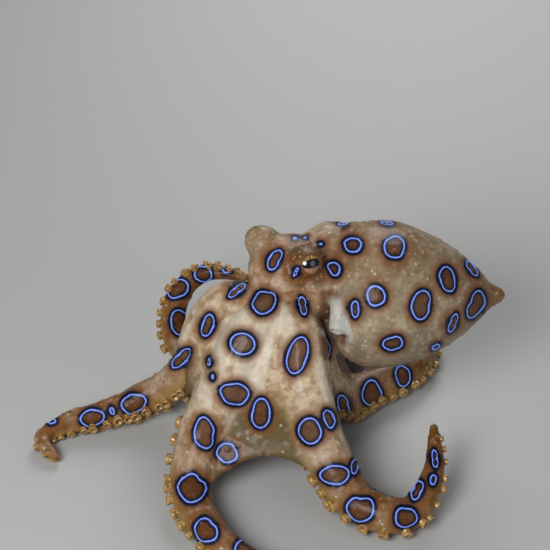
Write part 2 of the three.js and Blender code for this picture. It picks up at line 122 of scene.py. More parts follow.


# %% [markdown]
# Each arm is a route from the crown to its tip, with the way its suckers face at the root, the
# middle and the tip. They are the same routes as in the solids. The girth is the arm's
# thickness beside the thickest arm's.

# %% Arm routes
ARMS = {
    "arm_left_1": {
        "girth": 1.0,
        "route": [(0, -6, 38), (-5.7, -11.9, 36), (-11.7, -18.5, 27), (-18, -24.4, 15),
                  (-20.9, -33, 7), (-19.9, -41, 0), (-16.2, -48.7, 0), (-10.6, -55, 0),
                  (-3, -58.8, 0), (8.4, -57.5, 0)],
        "oral": [(0.6, 0.3, -0.7), (-0.75, -0.1, -0.65), (-0.2, -0.75, -0.6)],
    },
    "arm_left_2": {
        "girth": 1.0,
        "route": [(4, -7, 38), (6.7, -14.5, 35), (7.6, -20.6, 28), (11, -27, 16),
                  (16.2, -35, 8), (22.8, -42.4, 0), (29.5, -44.4, 0), (35.5, -41, 5.6),
                  (39.5, -32.5, 9), (40, -21.5, 13)],
        "oral": [(-0.3, 0.5, -0.8), (-0.55, -0.35, -0.75), (0.85, -0.3, -0.45)],
    },
    "arm_left_3": {
        "girth": 0.88,
        "route": [(6, -6, 36), (9.5, -9.6, 27), (13, -9.6, 17.5), (17.6, -4.4, 8),
                  (24, 1.8, 0), (35, 9.2, 0), (40.5, 17, 0), (41.8, 28, 0), (39, 41, 0)],
        "oral": [(-0.6, 0.2, -0.7), (0.3, -0.6, -0.75), (0.75, 0, -0.65)],
    },
    "arm_left_4": {
        "girth": 0.9,
        "route": [(5, -3, 36), (10.6, 3.8, 25.5), (15.8, 12, 16), (21, 21, 7.5),
                  (25.5, 30, 0), (27, 39, 0), (29.5, 48, 0), (36, 57, 0)],
        "oral": [(-0.6, -0.3, -0.7), (-0.1, -0.35, -0.9), (0.6, -0.3, -0.7)],
    },
    "arm_right_4": {
        "girth": 0.9,
        "route": [(2, 0, 36), (4.6, 11.8, 25.5), (7.6, 21.8, 16), (11, 31, 7.5),
                  (15, 40, 0), (19, 49, 0), (22, 58, 0), (28, 67, 0)],
        "oral": [(-0.1, -0.7, -0.7), (0.1, -0.3, -0.9), (0.5, -0.4, -0.7)],
    },
    "arm_right_3": {
        "girth": 0.9,
        "route": [(-2, 0, 36), (-5, 12, 24.5), (-7, 21.5, 13.5), (-6.6, 31, 5.5),
                  (-4, 41.5, 0), (1, 51, 0), (6, 59.5, 0), (12, 66.5, 0)],
        "oral": [(0.2, -0.7, -0.7), (-0.1, -0.3, -0.9), (-0.5, 0.3, -0.75)],
    },
    "arm_right_2": {
        "girth": 0.76,
        "route": [(-4, -1.5, 36), (-11, 4, 26.5), (-14.2, 7.5, 18), (-16, 10.4, 11.5),
                  (-18.8, 13, 7), (-22.5, 15.3, 5.6), (-25.8, 17.2, 8.2),
                  (-27.3, 18.6, 13.8), (-26.6, 19.8, 20.4), (-23, 20.8, 26.4),
                  (-17, 20.4, 30.2), (-7.8, 17.8, 30.4)],
        "oral": [(0.6, -0.5, -0.6), (-0.5, -0.1, -0.8), (-0.25, 0.45, 0.85)],
    },
    "arm_right_1": {
        "girth": 0.85,
        "route": [(-4, -4, 38.5), (-12, -0.8, 37), (-18, -1.6, 30), (-21.5, -3.4, 19.5),
                  (-27.5, -2.2, 10), (-36, -3.6, 6), (-46, -7, 0), (-55, -9.8, 0),
                  (-60.2, -14.6, 0), (-56, -20.6, 0)],
        "oral": [(0.7, -0.1, -0.7), (0.1, -0.75, -0.65), (-0.5, -0.55, -0.65)],
    },
}
ARM_ORDER = list(ARMS)
print("arms", len(ARM_ORDER))

# %% [markdown]
# An arm tapers slowly and then fast, and bends as it likes. It could be one Bezier curve, but
# equal steps along that are hard to read off. So each route becomes a smooth curve cut into
# stations at equal steps. A station holds its centre, its radius and three ways: along the
# arm, to where the suckers face, and to the side. All later forms and colours read these.

# %% Arm stations
ARM_ROOT_RADIUS = 6.1
ARM_TIP_RADIUS = 1.2
ARM_TAPER = 2.6
ARM_REST_LIFT = 0.6
STATIONS = 121
CURVE_STEPS = 900
ROUTE_POWER = 0.25
LEAST_SPAN = 1e-4


def unit(vectors):
    """Each row at length one."""
    return vectors / np.linalg.norm(vectors, axis=-1, keepdims=True)


def spline(points, count, power):
    """A smooth curve through the points. Power 0.25 keeps it from looping at close points."""
    points = np.asarray(points, float)
    first = 2 * points[0] - points[1]
    last = 2 * points[-1] - points[-2]
    every = np.vstack([first, points, last])
    out = []
    for place in np.linspace(0, len(points) - 1, count):
        k = min(int(place), len(points) - 2)
        w = place - k
        a, b, c, d = every[k:k + 4]
        da, db, dc = (max(np.sum((q - p) ** 2) ** power, LEAST_SPAN)
                      for p, q in ((a, b), (b, c), (c, d)))
        start = ((b - a) / da - (c - a) / (da + db) + (c - b) / db) * db
        end = ((c - b) / db - (d - b) / (db + dc) + (d - c) / dc) * db
        out.append(b + start * w + (3 * (c - b) - 2 * start - end) * w ** 2
                   + (2 * (b - c) + start + end) * w ** 3)
    return np.array(out)


def arm_radius(arm, share):
    """Full at the root and thin at the tip, with most of the taper in the last third."""
    root = ARM_ROOT_RADIUS * arm["girth"]
    return ARM_TIP_RADIUS + (root - ARM_TIP_RADIUS) * (1 - share ** ARM_TAPER)


for arm in ARMS.values():
    curve = spline(arm["route"], CURVE_STEPS, ROUTE_POWER)
    run = np.concatenate([[0], np.cumsum(np.linalg.norm(np.diff(curve, axis=0), axis=1))])
    share = np.linspace(0, 1, STATIONS)
    centre = np.array([np.interp(share * run[-1], run, curve[:, k]) for k in range(3)]).T
    arm["share"] = share
    arm["length"] = run[-1]
    arm["radius"] = arm_radius(arm, share)
    arm["along"] = unit(np.gradient(centre, axis=0))
    centre[:, 2] = np.maximum(centre[:, 2], arm["radius"] + ARM_REST_LIFT)
    arm["centre"] = centre
    root, middle, tip = unit(np.array(arm["oral"], float))
    half = np.clip(share * 2, 0, 1)[:, None]
    rest = np.clip(share * 2 - 1, 0, 1)[:, None]
    way = root + (middle - root) * half + (tip - middle) * rest
    way -= arm["along"] * np.sum(way * arm["along"], axis=1, keepdims=True)
    arm["faces"] = unit(way)
    arm["side"] = np.cross(arm["along"], arm["faces"])
print("arm lengths in mm", [round(arm["length"]) for arm in ARMS.values()])

# %% [markdown]
# ## The flesh
# A soft body is easiest to build from overlapping round forms that a voxel remesh then melts
# into one skin. A tube along a route is a curve with a round bevel, whose points carry the
# radius, so arms, mantle and funnel all come from one helper.

# %% Helpers for round forms
def select_only(*objects):
    bpy.ops.object.select_all(action="DESELECT")
    for thing in objects:
        thing.select_set(True)
    bpy.context.view_layer.objects.active = objects[0]


def tube(name, centres, radii, resolution=7):
    """A closed tube with a radius at each of its points, as a mesh."""
    curve = bpy.data.curves.new(name, "CURVE")
    curve.dimensions = "3D"
    curve.bevel_depth = MM
    curve.bevel_resolution = resolution
    curve.use_fill_caps = True
    line = curve.splines.new("POLY")
    line.points.add(len(centres) - 1)
    for point, place, radius in zip(line.points, placed(centres), radii):
        point.co = (*place, 1)
        point.radius = radius
    thing = bpy.data.objects.new(name, curve)
    bpy.context.scene.collection.objects.link(thing)
    select_only(thing)
    bpy.ops.object.convert(target="MESH")
    return bpy.context.object


def ellipsoid(name, centre, radii, across=40, down=24):
    bpy.ops.mesh.primitive_uv_sphere_add(segments=across, ring_count=down, radius=MM,
                                         location=placed(centre))
    thing = bpy.context.object
    thing.name = name
    thing.scale = radii
    bpy.ops.object.transform_apply(location=True, rotation=True, scale=True)
    return thing


def finish_modifier(thing, kind, **values):
    """Adds one modifier with these values and applies it."""
    modifier = thing.modifiers.new(kind.title(), kind)
    for key, value in values.items():
        setattr(modifier, key, value)
    select_only(thing)
    bpy.ops.object.modifier_apply(modifier=modifier.name)


def cut_away(forms, cutter):
    """Takes one form out of others, and then removes it."""
    for form in forms:
        finish_modifier(form, "BOOLEAN", operation="DIFFERENCE", object=cutter, solver="EXACT")
    bpy.data.objects.remove(cutter)


# %% [markdown]
# The mantle is a pointed egg whose back runs forward over the neck. It could be a scaled
# sphere, but the point and the full shoulder need a profile, given as pairs of distance and
# radius. Its edge stands open on the near side, where the funnel comes out, so that hollow is
# cut before the forms melt.

# %% Mantle and neck
MANTLE_FRONT = np.array((12.5, -1.0, 39.8))
MANTLE_TIP = np.array((59.0, 2.2, 36.8))
MANTLE_PROFILE = [(0, 0), (1.2, 9.5), (4.5, 15.2), (9, 18.0), (14, 18.7), (20, 17.8),
                  (27, 15.0), (33.5, 11.2), (39, 6.6), (42.3, 3.1), (45, 1.9), (46.6, 0)]
MANTLE_STEPS = 80
MANTLE_ROUNDNESS = 14
PROFILE_POWER = 0.0001
LEAST_RADIUS = 0.02
NAPE_CENTRE, NAPE_RADII = (15, 8.2, 42.8), (10.6, 10.4, 10.4)
BRIDGE_CENTRE, BRIDGE_RADII = (20.5, 4.5, 41.5), (8, 13.6, 13.7)
OPENING_CENTRE = np.array((12.4, -13.8, 40.3))
OPENING_RADII = np.array((6.3, 8.2, 9.0))


def straight(start, end, profile):
    """Centres and radii of a round form along a line, from its profile."""
    way = unit(end - start)
    centres = [start + way * distance for distance, radius in profile]
    return centres, [max(radius, LEAST_RADIUS) for distance, radius in profile]


outline = spline(MANTLE_PROFILE, MANTLE_STEPS, PROFILE_POWER)
mantle = tube("mantle_form", *straight(MANTLE_FRONT, MANTLE_TIP, outline),
              resolution=MANTLE_ROUNDNESS)
nape = ellipsoid("nape_form", NAPE_CENTRE, NAPE_RADII)
bridge = ellipsoid("bridge_form", BRIDGE_CENTRE, BRIDGE_RADII)
cut_away((mantle, bridge), ellipsoid("opening_form", OPENING_CENTRE, OPENING_RADII))
print("mantle", len(mantle.data.polygons), "faces")

# %% [markdown]
# The funnel is the pipe that the animal breathes and swims through. It is a tapered tube with
# a slight lip, and a second tube bores its mouth, so that the hollow is a real one.

# %% Funnel
FUNNEL_ROOT = np.array((17.2, -8.0, 45.0))
FUNNEL_MOUTH = np.array((15.4, -14.8, 38.8))
FUNNEL_PROFILE = [(-2, 4.0), (2, 3.5), (5, 2.9), (8.2, 2.5), (9.3, 2.6), (9.7, 2.2)]
BORE_PROFILE = [(3, 1.2), (7, 1.6), (11, 2.0)]
funnel = tube("funnel_form", *straight(FUNNEL_ROOT, FUNNEL_MOUTH, FUNNEL_PROFILE))
cut_away([funnel], tube("bore_form", *straight(FUNNEL_ROOT, FUNNEL_MOUTH, BORE_PROFILE)))
flesh = [mantle, nape, bridge, funnel]
print("funnel", len(funnel.data.polygons), "faces")

# %% [markdown]
# The head is one low dome over the crown of the arms, with a mound for each eye. The lids are
# a thick rim round each opening, heavier above, so that the ball sits in the flesh as a real
# eye does. They could be cut from the mound, but a tube bent to a flat ring gives the rim its
# fullness at once.

# %% Head, crown and eyelids
HEAD_FORMS = {
    "head_form": ((3.6, 3.2, 44.5), (10.4, 9.6, 8.6)),
    "crown_form": ((0, -5, 34.5), (11, 11.5, 9)),
    "neck_form": ((10.5, 0.5, 41), (7.5, 9.0, 8.5)),
}
MOUND_RADIUS = 4.5
LID_RADIUS = 3.0
LID_OUT = 1.75
LID_FLATNESS = 0.72
LID_BROW = 0.35
LID_STEPS = 33
LID_THICKNESS = {"eye_left": 0.8, "eye_right": 0.55}
flesh += [ellipsoid(name, centre, radii) for name, (centre, radii) in HEAD_FORMS.items()]
for name, eye in EYES.items():
    flesh.append(ellipsoid(name + "_mound", eye["centre"], (MOUND_RADIUS,) * 3))
    eye["level"] = unit(np.cross((0, 0, 1), eye["looks"]))
    eye["rise"] = np.cross(eye["looks"], eye["level"])
    place = eye["centre"] + eye["looks"] * (EYE_PUSH + LID_OUT)
    rim, thick = [], []
    for turn in np.linspace(0, 2 * math.pi, LID_STEPS):
        rim.append(place + eye["level"] * math.cos(turn) * LID_RADIUS
                   + eye["rise"] * math.sin(turn) * LID_RADIUS * LID_FLATNESS)
        thick.append(LID_THICKNESS[name] * (1 + LID_BROW * max(math.sin(turn), 0)))
    flesh.append(tube(name + "_lid", rim, thick))
print("forms of head and mantle", len(flesh))

# %% [markdown]
# An arm is a tube through its stations, with a small ball to round its tip. The suckers are
# not part of it yet, because the remesh would melt their rims.

# %% Arms
TIP_SEGMENTS = (16, 10)
for name, arm in ARMS.items():
    flesh.append(tube(name + "_form", arm["centre"], arm["radius"]))
    flesh.append(ellipsoid(name + "_end", arm["centre"][-1], (ARM_TIP_RADIUS,) * 3,
                           *TIP_SEGMENTS))
print("forms of flesh", len(flesh))

# %% [markdown]
# A web of thin skin joins each arm to the next. It could be a cloth hung between them, but
# its edge is known here: a sheet ruled between the two routes, arched at its free edge and
# bulged a little like a sail. It is thicker than the living web, so that it outlasts the
# melting.

# %% Web
WEB_THICKNESS = 1.3
WEB_STEPS = 18
WEB_START = 0.1
WEB_AT_ARM = 0.56
WEB_AT_MIDDLE = [0.43, 0.27, 0.34, 0.36, 0.36, 0.36, 0.36, 0.4]
WEB_ARCH_POWER = 0.8
WEB_RISE = 0.4
WEB_BULGE = 1.2


def at_share(arm, key, share):
    """A measure of an arm at any share of its length, between two stations."""
    place = share * (STATIONS - 1)
    k = min(int(place), STATIONS - 2)
    return arm[key][k] + (arm[key][k + 1] - arm[key][k]) * (place - k)


def web_point(one, two, u, share, arch):
    """A point of the web at a share u of the way from one arm to the next."""
    point = at_share(one, "centre", share) * (1 - u) + at_share(two, "centre", share) * u
    back = unit(at_share(one, "faces", share) + at_share(two, "faces", share))
    thick = (at_share(one, "radius", share) + at_share(two, "radius", share)) / 2
    point = point - back * (WEB_RISE * thick + WEB_BULGE * arch)
    point[2] = max(point[2], WEB_THICKNESS)
    return point


def web_sheet(name, one, two, at_middle):
    """The web between two arms, out to a share of their length at its middle."""
    points = []
    for u in np.linspace(0, 1, WEB_STEPS + 1):
        arch = math.sin(math.pi * u)
        end = WEB_AT_ARM + (at_middle - WEB_AT_ARM) * arch ** WEB_ARCH_POWER
        for share in np.linspace(WEB_START, end, WEB_STEPS + 1):
            points.append(web_point(one, two, u, share, arch))
    bpy.ops.mesh.primitive_grid_add(x_subdivisions=WEB_STEPS, y_subdivisions=WEB_STEPS, size=MM)
    sheet = bpy.context.object
    sheet.name = name
    sheet.data.vertices.foreach_set("co", placed(points).ravel())
    sheet.data.update()
    finish_modifier(sheet, "SOLIDIFY", thickness=WEB_THICKNESS * MM, offset=0)
    return sheet


def next_arm(place):
    """The arm after the one at this place, round to the first again."""
    return ARMS[ARM_ORDER[(place + 1) % len(ARM_ORDER)]]


for place, name in enumerate(ARM_ORDER):
    flesh.append(web_sheet(f"web_form_{place + 1}", ARMS[name], next_arm(place),
                           WEB_AT_MIDDLE[place]))
print("webs", len(ARM_ORDER))

# %% [markdown]
# Now the forms are joined and melted. A voxel a little over half a millimetre keeps the lids
# and the web and stays under 200,000 triangles. A few rounds of smoothing turn the joins into
# soft folds. A remesh can leave small closed shells inside, so only the largest is kept.

# %% One skin
VOXEL = 0.6
SMOOTH_FACTOR = 0.5
SMOOTH_ROUNDS = 7


def shells_of(loose):
    """Lists of the faces that hang together, the largest last."""
    seen, shells = set(), []
    for face in loose.faces:
        if face in seen:
            continue
        stack, shell = [face], []
        seen.add(face)
        while stack:
            one = stack.pop()
            shell.append(one)
            for edge in one.edges:
                for other in edge.link_faces:
                    if other not in seen:
                        seen.add(other)
                        stack.append(other)
        shells.append(shell)
    return sorted(shells, key=len)


select_only(*flesh)
bpy.ops.object.join()
skin = bpy.context.object
skin.name = "skin"
skin.data.name = "skin"
finish_modifier(skin, "REMESH", mode="VOXEL", voxel_size=VOXEL * MM)
finish_modifier(skin, "SMOOTH", factor=SMOOTH_FACTOR, iterations=SMOOTH_ROUNDS)
loose = bmesh.new()
loose.from_mesh(skin.data)
shells = shells_of(loose)
for shell in shells[:-1]:
    bmesh.ops.delete(loose, geom=shell, context="FACES")
loose.to_mesh(skin.data)
loose.free()
print("skin", len(skin.data.polygons), "faces, shells", len(shells))

# %% [markdown]
# ## Where everything lies on the skin
# For each point of the skin the nearest station of an arm is looked up. That gives how far
# out along the arm the point is, and whether it lies on the side of the suckers. A point
# that is far from every station, counted in arm radii, lies on the body.

# %% Measures on the skin
BODY_EDGES = (1.5, 2.2)
BODY_HEIGHT = 20
MANTLE_EDGES = (9, 16)
LEAST_VECTOR = 1e-9


def read_vectors(source, key):
    values = np.empty(len(source) * 3)
    source.foreach_get(key, values)
    return values.reshape(-1, 3)


def smooth_step(low_edge, high_edge, values):
    """0 at the first edge and 1 at the second, eased at both. The edges may fall."""
    t = np.clip((values - low_edge) / (high_edge - low_edge), 0, 1)
    return t * t * (3 - 2 * t)


def put_attribute(mesh, name, values):
    """Stores one number at each point of a mesh, for its material to read."""
    attribute = mesh.attributes.new(name, "FLOAT", "POINT")
    attribute.data.foreach_set("value", np.asarray(values, np.float32))


places = read_vectors(skin.data.vertices, "co") / MM - SHIFT
normals = read_vectors(skin.data.vertex_normals, "vector")
every = {key: np.concatenate([arm[key] for arm in ARMS.values()])
         for key in ("share", "radius", "centre", "faces", "side")}
tree = KDTree(len(every["centre"]))
for index, centre in enumerate(every["centre"]):
    tree.insert(centre, index)
tree.balance()
nearest = np.array([tree.find(point)[1:] for point in places])
near_index = nearest[:, 0].astype(int)
near = {key: values[near_index] for key, values in every.items()}
gap_in_radii = nearest[:, 1] / near["radius"]
out_vector = places - near["centre"]
sucker_side = np.sum(unit(out_vector + LEAST_VECTOR) * near["faces"], axis=1)
on_body = smooth_step(*BODY_EDGES, gap_in_radii)
high_up = places[:, 2] > BODY_HEIGHT
on_mantle = smooth_step(*MANTLE_EDGES, places[:, 0]) * on_body * high_up
along = near["share"] * (1 - on_body * high_up)
print("along the arms from", along.min().round(2), "to", along.max().round(2))

# %% [markdown]
# ## The rings
# A ring is stored as one number at each point of the skin: the distance in millimetres to the
# outer edge of its blue line, negative inside. The material cuts that distance into the brown
# middle, the blue line, the dark edge and the halo, so the line stays sharp however coarse the
# mesh is. The rings that the photograph shows are given as it shows them: the pixel of the
# centre, half the width and height in pixels, the tilt, and a lobe where the outline is
# pointed or, with a negative amount, notched.

# %% Rings that the photograph shows
RINGS_SEEN = {
    "mantle": [
        (353, 245, 9.2, 8.6, 0), (394.5, 247, 11.5, 12.5, -30), (376, 296, 10, 11.3, 0),
        (421, 305, 11, 15, -5), (447, 278, 8.8, 13.8, 12, (-55, 0.25)),
        (476, 304.5, 9.5, 16, -22, (160, -0.2)), (453, 323, 4.8, 11, -18, (0, -0.2)),
        (393, 343.5, 11, 8, 0), (436, 347, 5.2, 3.7, 30), (355, 308, 4.8, 8.6, 0, (-90, 0.3)),
        (387, 222.5, 7, 2.6, -5), (343, 223.5, 6, 2.4, 12), (472, 268, 5, 10, 38),
    ],
    "head": [
        (334.7, 269, 6.3, 7.7, 0, (155, 0.35)), (274.5, 260, 6.6, 12, -30),
        (296, 272, 2.2, 6, -25), (295, 238, 2.6, 2.2, 0), (305, 238, 2.4, 2.0, 0),
        (320.7, 244, 2.6, 2.0, 0),
    ],
    "arm_right_1": [
        (237, 290, 12, 4.4, 40), (208, 325.5, 7, 13, -15), (181.6, 358.5, 14, 6.5, 45),
        (133.5, 404, 14, 10, 24), (92, 418, 13, 9, 12, (-90, 0.2)), (52, 421, 5, 3.4, 0),
        (112, 411, 3, 5, 20),
    ],
    "body": [
        (264, 302.5, 13, 12, 20), (242.6, 344, 13.5, 11.4, 0), (302.8, 305.4, 4.4, 10, 10),
        (297, 357, 11, 18, -14, (75, 0.2)), (235.5, 394, 15.4, 11.6, 0, (155, 0.15)),
        (261, 413.7, 10.3, 16, -4), (310, 431, 12.8, 13.5, 0), (209.6, 362, 2.8, 4.4, 0),
        (213, 377, 2.0, 3.2, 0),
    ],
    "arm_left_1": [
        (204, 434, 11, 15.4, 0, (90, 0.2)), (227, 453, 11, 11, 0),
        (192, 488, 15, 14.4, 0, (45, -0.22)), (206, 531, 13.2, 11.7, 0, (45, -0.15)),
        (246, 551, 13, 9, -15),
    ],
    "arm_left_2": [
        (336, 475, 14, 10.6, 4, (180, 0.2)), (354.5, 467, 4.6, 7.6, 0),
        (360.5, 509, 15.2, 13.6, 0, (90, -0.22)), (406, 518, 12, 11.4, 10),
        (417.5, 491, 5, 10, -30), (433, 480, 4, 6, -15), (435, 459.5, 3.6, 9, 0),
    ],
    "arm_right_2": [
        (203, 274, 9.5, 9.5, 0), (178, 289, 13, 9, 35), (179.5, 322.6, 9.5, 14, 8),
        (227, 269, 6, 5, 0),
    ],
    "arm_left_3": [
        (343.5, 407, 6.6, 15, 15), (329, 419, 6, 11, 15), (372, 394, 11, 14, 10),
        (403, 376, 9, 11, 15),
    ],
}
print("rings in the table", sum(len(rings) for rings in RINGS_SEEN.values()))

# %% [markdown]
# A living ring is never a true ellipse. A few slow waves with random phases bend each outline,
# and a lobe adds its point or its notch. Every ring is cast on to the skin by the camera and
# measured there in the flat of the picture.

# %% Cast the rings
RING_SEED = 3678
RING_WAVES = (2, 3, 4, 5)
RING_WOBBLE = 0.14
RING_FAR = 8.0
FULL_PHASE = 6.3
LOBE_WIDTH = 0.5
THIN_END_SLOPE = 0.25
FACING_LEAST = 0.02
CAST_REACH = 2.3
CAST_MARGIN = 2.5

skin_tree = BVHTree.FromPolygons([tuple(p) for p in places],
                                 [tuple(f.vertices) for f in skin.data.polygons])
ring_distance = np.full(len(places), RING_FAR)
ring_places = []
rng = random.Random(RING_SEED)


def ring_outline(angle, lobe, waves):
    """How far the outline lies from the centre, as a share of the plain ellipse."""
    reach = np.ones_like(angle)
    for count, (amount, phase) in waves.items():
        reach += amount * np.cos(count * angle + phase)
    if lobe:
        towards, amount = math.radians(lobe[0]), lobe[1]
        off_lobe = np.angle(np.exp(1j * (angle - towards)))
        reach += amount * np.exp(-(off_lobe / LOBE_WIDTH) ** 2)
    return reach


def paint_ring(across, rise, gap, half_width, half_height, tilt, lobe, allowed):
    """Lowers the ring distance round one ring, from flat places about its centre."""
    turn = math.radians(tilt)
    x = across * math.cos(turn) + rise * math.sin(turn)
    y = -across * math.sin(turn) + rise * math.cos(turn)
    angle = np.arctan2(y, x)
    ellipse = 1 / np.sqrt((np.cos(angle) / half_width) ** 2 + (np.sin(angle) / half_height) ** 2)
    waves = {n: (rng.uniform(-1, 1) * RING_WOBBLE / n, rng.uniform(0, FULL_PHASE))
             for n in RING_WAVES}
    distance = np.hypot(x, y) - ellipse * ring_outline(angle + turn, lobe, waves)
    # near the thin end of a long ring the way out is shorter than the line from the centre
    longest = max(half_width, half_height)
    slope = np.minimum(ellipse / longest + THIN_END_SLOPE, 1)
    distance = np.where(allowed & (gap < RING_FAR + longest), distance * slope, RING_FAR)
    np.minimum(ring_distance, distance, out=ring_distance)


for region, rings in RINGS_SEEN.items():
    for x, y, wide, tall, tilt, *lobe in rings:
        start, way = pixel_ray(x, y)
        hit = skin_tree.ray_cast(Vector(start), Vector(way))[0]
        if hit is None:
            print("no skin under ring", region, x, y)
            continue
        hit = np.array(hit)
        apart = places - hit
        scale = float((hit - EYE_POINT) @ VIEW_WAY) / CAMERA_DISTANCE / PIXELS_PER_MM
        gap = np.linalg.norm(apart, axis=1)
        size = max(wide, tall) * scale
        allowed = (normals @ -way > FACING_LEAST) & (gap < CAST_REACH * size + CAST_MARGIN)
        paint_ring(apart @ VIEW_RIGHT, apart @ VIEW_UP, gap, wide * scale, tall * scale, tilt,
                   lobe[0] if lobe else None, allowed)
        ring_places.append((hit, size))
print("rings seen", len(ring_places))

# %% [markdown]
# The far side, the hidden arms and the underside of the mantle get rings of the same size and
# spacing, wherever the camera sees no skin. A ring here is laid on the skin nearest to a
# point, and measured in the flat of the skin at that place. It is left out where it would
# touch another ring or the floor.

# %% One ring on a hidden side
HIDDEN_GAP = 2.0
RING_CLEARANCE = 1.6
RING_FLOOR = 2.2
RING_MARGIN = 4
LEAST_SLOPE = 0.05
LEAST_FLAT = 1e-6


def hidden_from_camera(point):
    """Whether the camera meets other skin before it meets this point."""
    way = unit(point - EYE_POINT)
    hit = skin_tree.ray_cast(Vector(EYE_POINT), Vector(way))[0]
    return hit is None or np.linalg.norm(np.array(hit) - point) > HIDDEN_GAP


def add_ring(point, half_width, half_height, tilt):
    """One ring on the skin nearest to a point, if it is hidden and clear of the others."""
    hit, normal = (np.array(found) for found in skin_tree.find_nearest(Vector(point))[:2])
    size = max(half_width, half_height)
    clear = all(np.linalg.norm(hit - other) > size + reach + RING_CLEARANCE
                for other, reach in ring_places)
    if not clear or not hidden_from_camera(hit) or hit[2] < RING_FLOOR:
        return
    level = np.cross((0, 0, 1), normal)
    level = unit(level) if np.linalg.norm(level) > LEAST_SLOPE else VIEW_RIGHT
    rise = np.cross(normal, level)
    apart = places - hit
    gap = np.linalg.norm(apart, axis=1)
    stretch = gap / (np.hypot(apart @ level, apart @ rise) + LEAST_FLAT)
    paint_ring(apart @ level * stretch, apart @ rise * stretch, gap, half_width, half_height,
               tilt, None, (normals @ normal > 0.0) & (gap < size + RING_MARGIN))
    ring_places.append((hit, size))


# %% [markdown]
# Along the back of an arm the rings lie in pairs, closer together towards the tip. Round the
# mantle they stand in rows that are set off by half a step, like bricks. The webs get one
# ring each.

# %% Rings on the sides that the photograph hides
ARM_RING_SHARES = (0.1, 0.95)
ARM_RING_STEP, TIP_RING_STEP, TIP_RINGS_FROM = 7.2, 5.4, 0.6
PAIR_OFFSET = 0.012
PAIR_ANGLES = (0.45, 0.75)
ARM_RING_BASE, ARM_RING_GROWTH = 0.75, 0.42
ARM_RING_WIDTHS, ARM_RING_HEIGHTS = (0.85, 1.1), (0.85, 1.2)
ARM_RING_TILTS = (-60, 60)
MANTLE_RING_ROWS, MANTLE_ROW_START, MANTLE_ROW_STEP = 7, 3, 6.2
MANTLE_RING_STEP = 10.5
MANTLE_RING_SIZES = (2.3, 3.1)
MANTLE_RING_HEIGHTS = (0.95, 1.3)
MANTLE_RING_TILTS = (-40, 40)
MANTLE_RING_JITTER = (-0.1, 0.1)
MANTLE_RADIUS = 18.7
MANTLE_RING_LEAST = 0.6
WEB_RING_SHARE, WEB_RING_LIFT, WEB_RING_SIZE = 0.3, 5, (2.3, 2.6)

for arm in ARMS.values():
    share, last_share = ARM_RING_SHARES
    while share < last_share:
        for side in (-1, 1):
            place = share + side * PAIR_OFFSET
            radius = at_share(arm, "radius", place)
            angle = side * rng.uniform(*PAIR_ANGLES)
            away = (-at_share(arm, "faces", place) * math.cos(angle)
                    + at_share(arm, "side", place) * math.sin(angle))
            size = ARM_RING_BASE + ARM_RING_GROWTH * radius
            add_ring(at_share(arm, "centre", place) + away * radius,
                     size * rng.uniform(*ARM_RING_WIDTHS), size * rng.uniform(*ARM_RING_HEIGHTS),
                     rng.uniform(*ARM_RING_TILTS))
        share += (ARM_RING_STEP if share < TIP_RINGS_FROM else TIP_RING_STEP) / arm["length"]
for row in range(MANTLE_RING_ROWS):
    distance = MANTLE_ROW_START + row * MANTLE_ROW_STEP
    radius = np.interp(distance, outline[:, 0], outline[:, 1])
    middle = MANTLE_FRONT + unit(MANTLE_TIP - MANTLE_FRONT) * distance
    count = max(3, round(2 * math.pi * radius / MANTLE_RING_STEP))
    for k in range(count):
        angle = 2 * math.pi * (k + 0.5 * (row % 2)) / count + rng.uniform(*MANTLE_RING_JITTER)
        away = np.array((0, math.cos(angle), math.sin(angle)))
        fullness = MANTLE_RING_LEAST + (1 - MANTLE_RING_LEAST) * radius / MANTLE_RADIUS
        size = rng.uniform(*MANTLE_RING_SIZES) * fullness
        add_ring(middle + away * radius, size, size * rng.uniform(*MANTLE_RING_HEIGHTS),
                 rng.uniform(*MANTLE_RING_TILTS))
for place, one in enumerate(ARMS.values()):
    two = next_arm(place)
    middle = (at_share(one, "centre", WEB_RING_SHARE) + at_share(two, "centre", WEB_RING_SHARE)) / 2
    back = unit(at_share(one, "faces", WEB_RING_SHARE) + at_share(two, "faces", WEB_RING_SHARE))
    add_ring(middle - back * WEB_RING_LIFT, *WEB_RING_SIZE, 0)
print("rings in all", len(ring_places))

# %% [markdown]
# ## The surface
# Living skin is never smooth. It could be left to a bump in the material, but low folds and
# warts show at the outline. So waves, warts, grain and the streaks along the arms are moved
# into the mesh along its normals, and only the pores are left to the bump. The skin stays
# calm under the suckers and smooth round the eyes. A pattern's turns are how often it comes
# round in a millimetre, and heights are in millimetres.

# %% Relief
WAVE_HEIGHT, WAVE_TURNS = 0.22, 0.16
WART_HEIGHT, WART_TURNS, WART_EDGES = 0.34, 0.42, (0.34, 0.05)
GRAIN_HEIGHT, GRAIN_TURNS = 0.06, 0.9
STREAK_HEIGHT, STREAK_EDGES = 0.25, (-0.05, 0.35)
STREAKS_ROUND, STREAKS_ALONG, STREAK_SHIFT = 1.5, 3.2, 7.3
CALM_SHARE, CALM_EDGES = 0.6, (0.2, 0.7)
SMOOTH_EYE_EDGES = (5.6, 4.0)

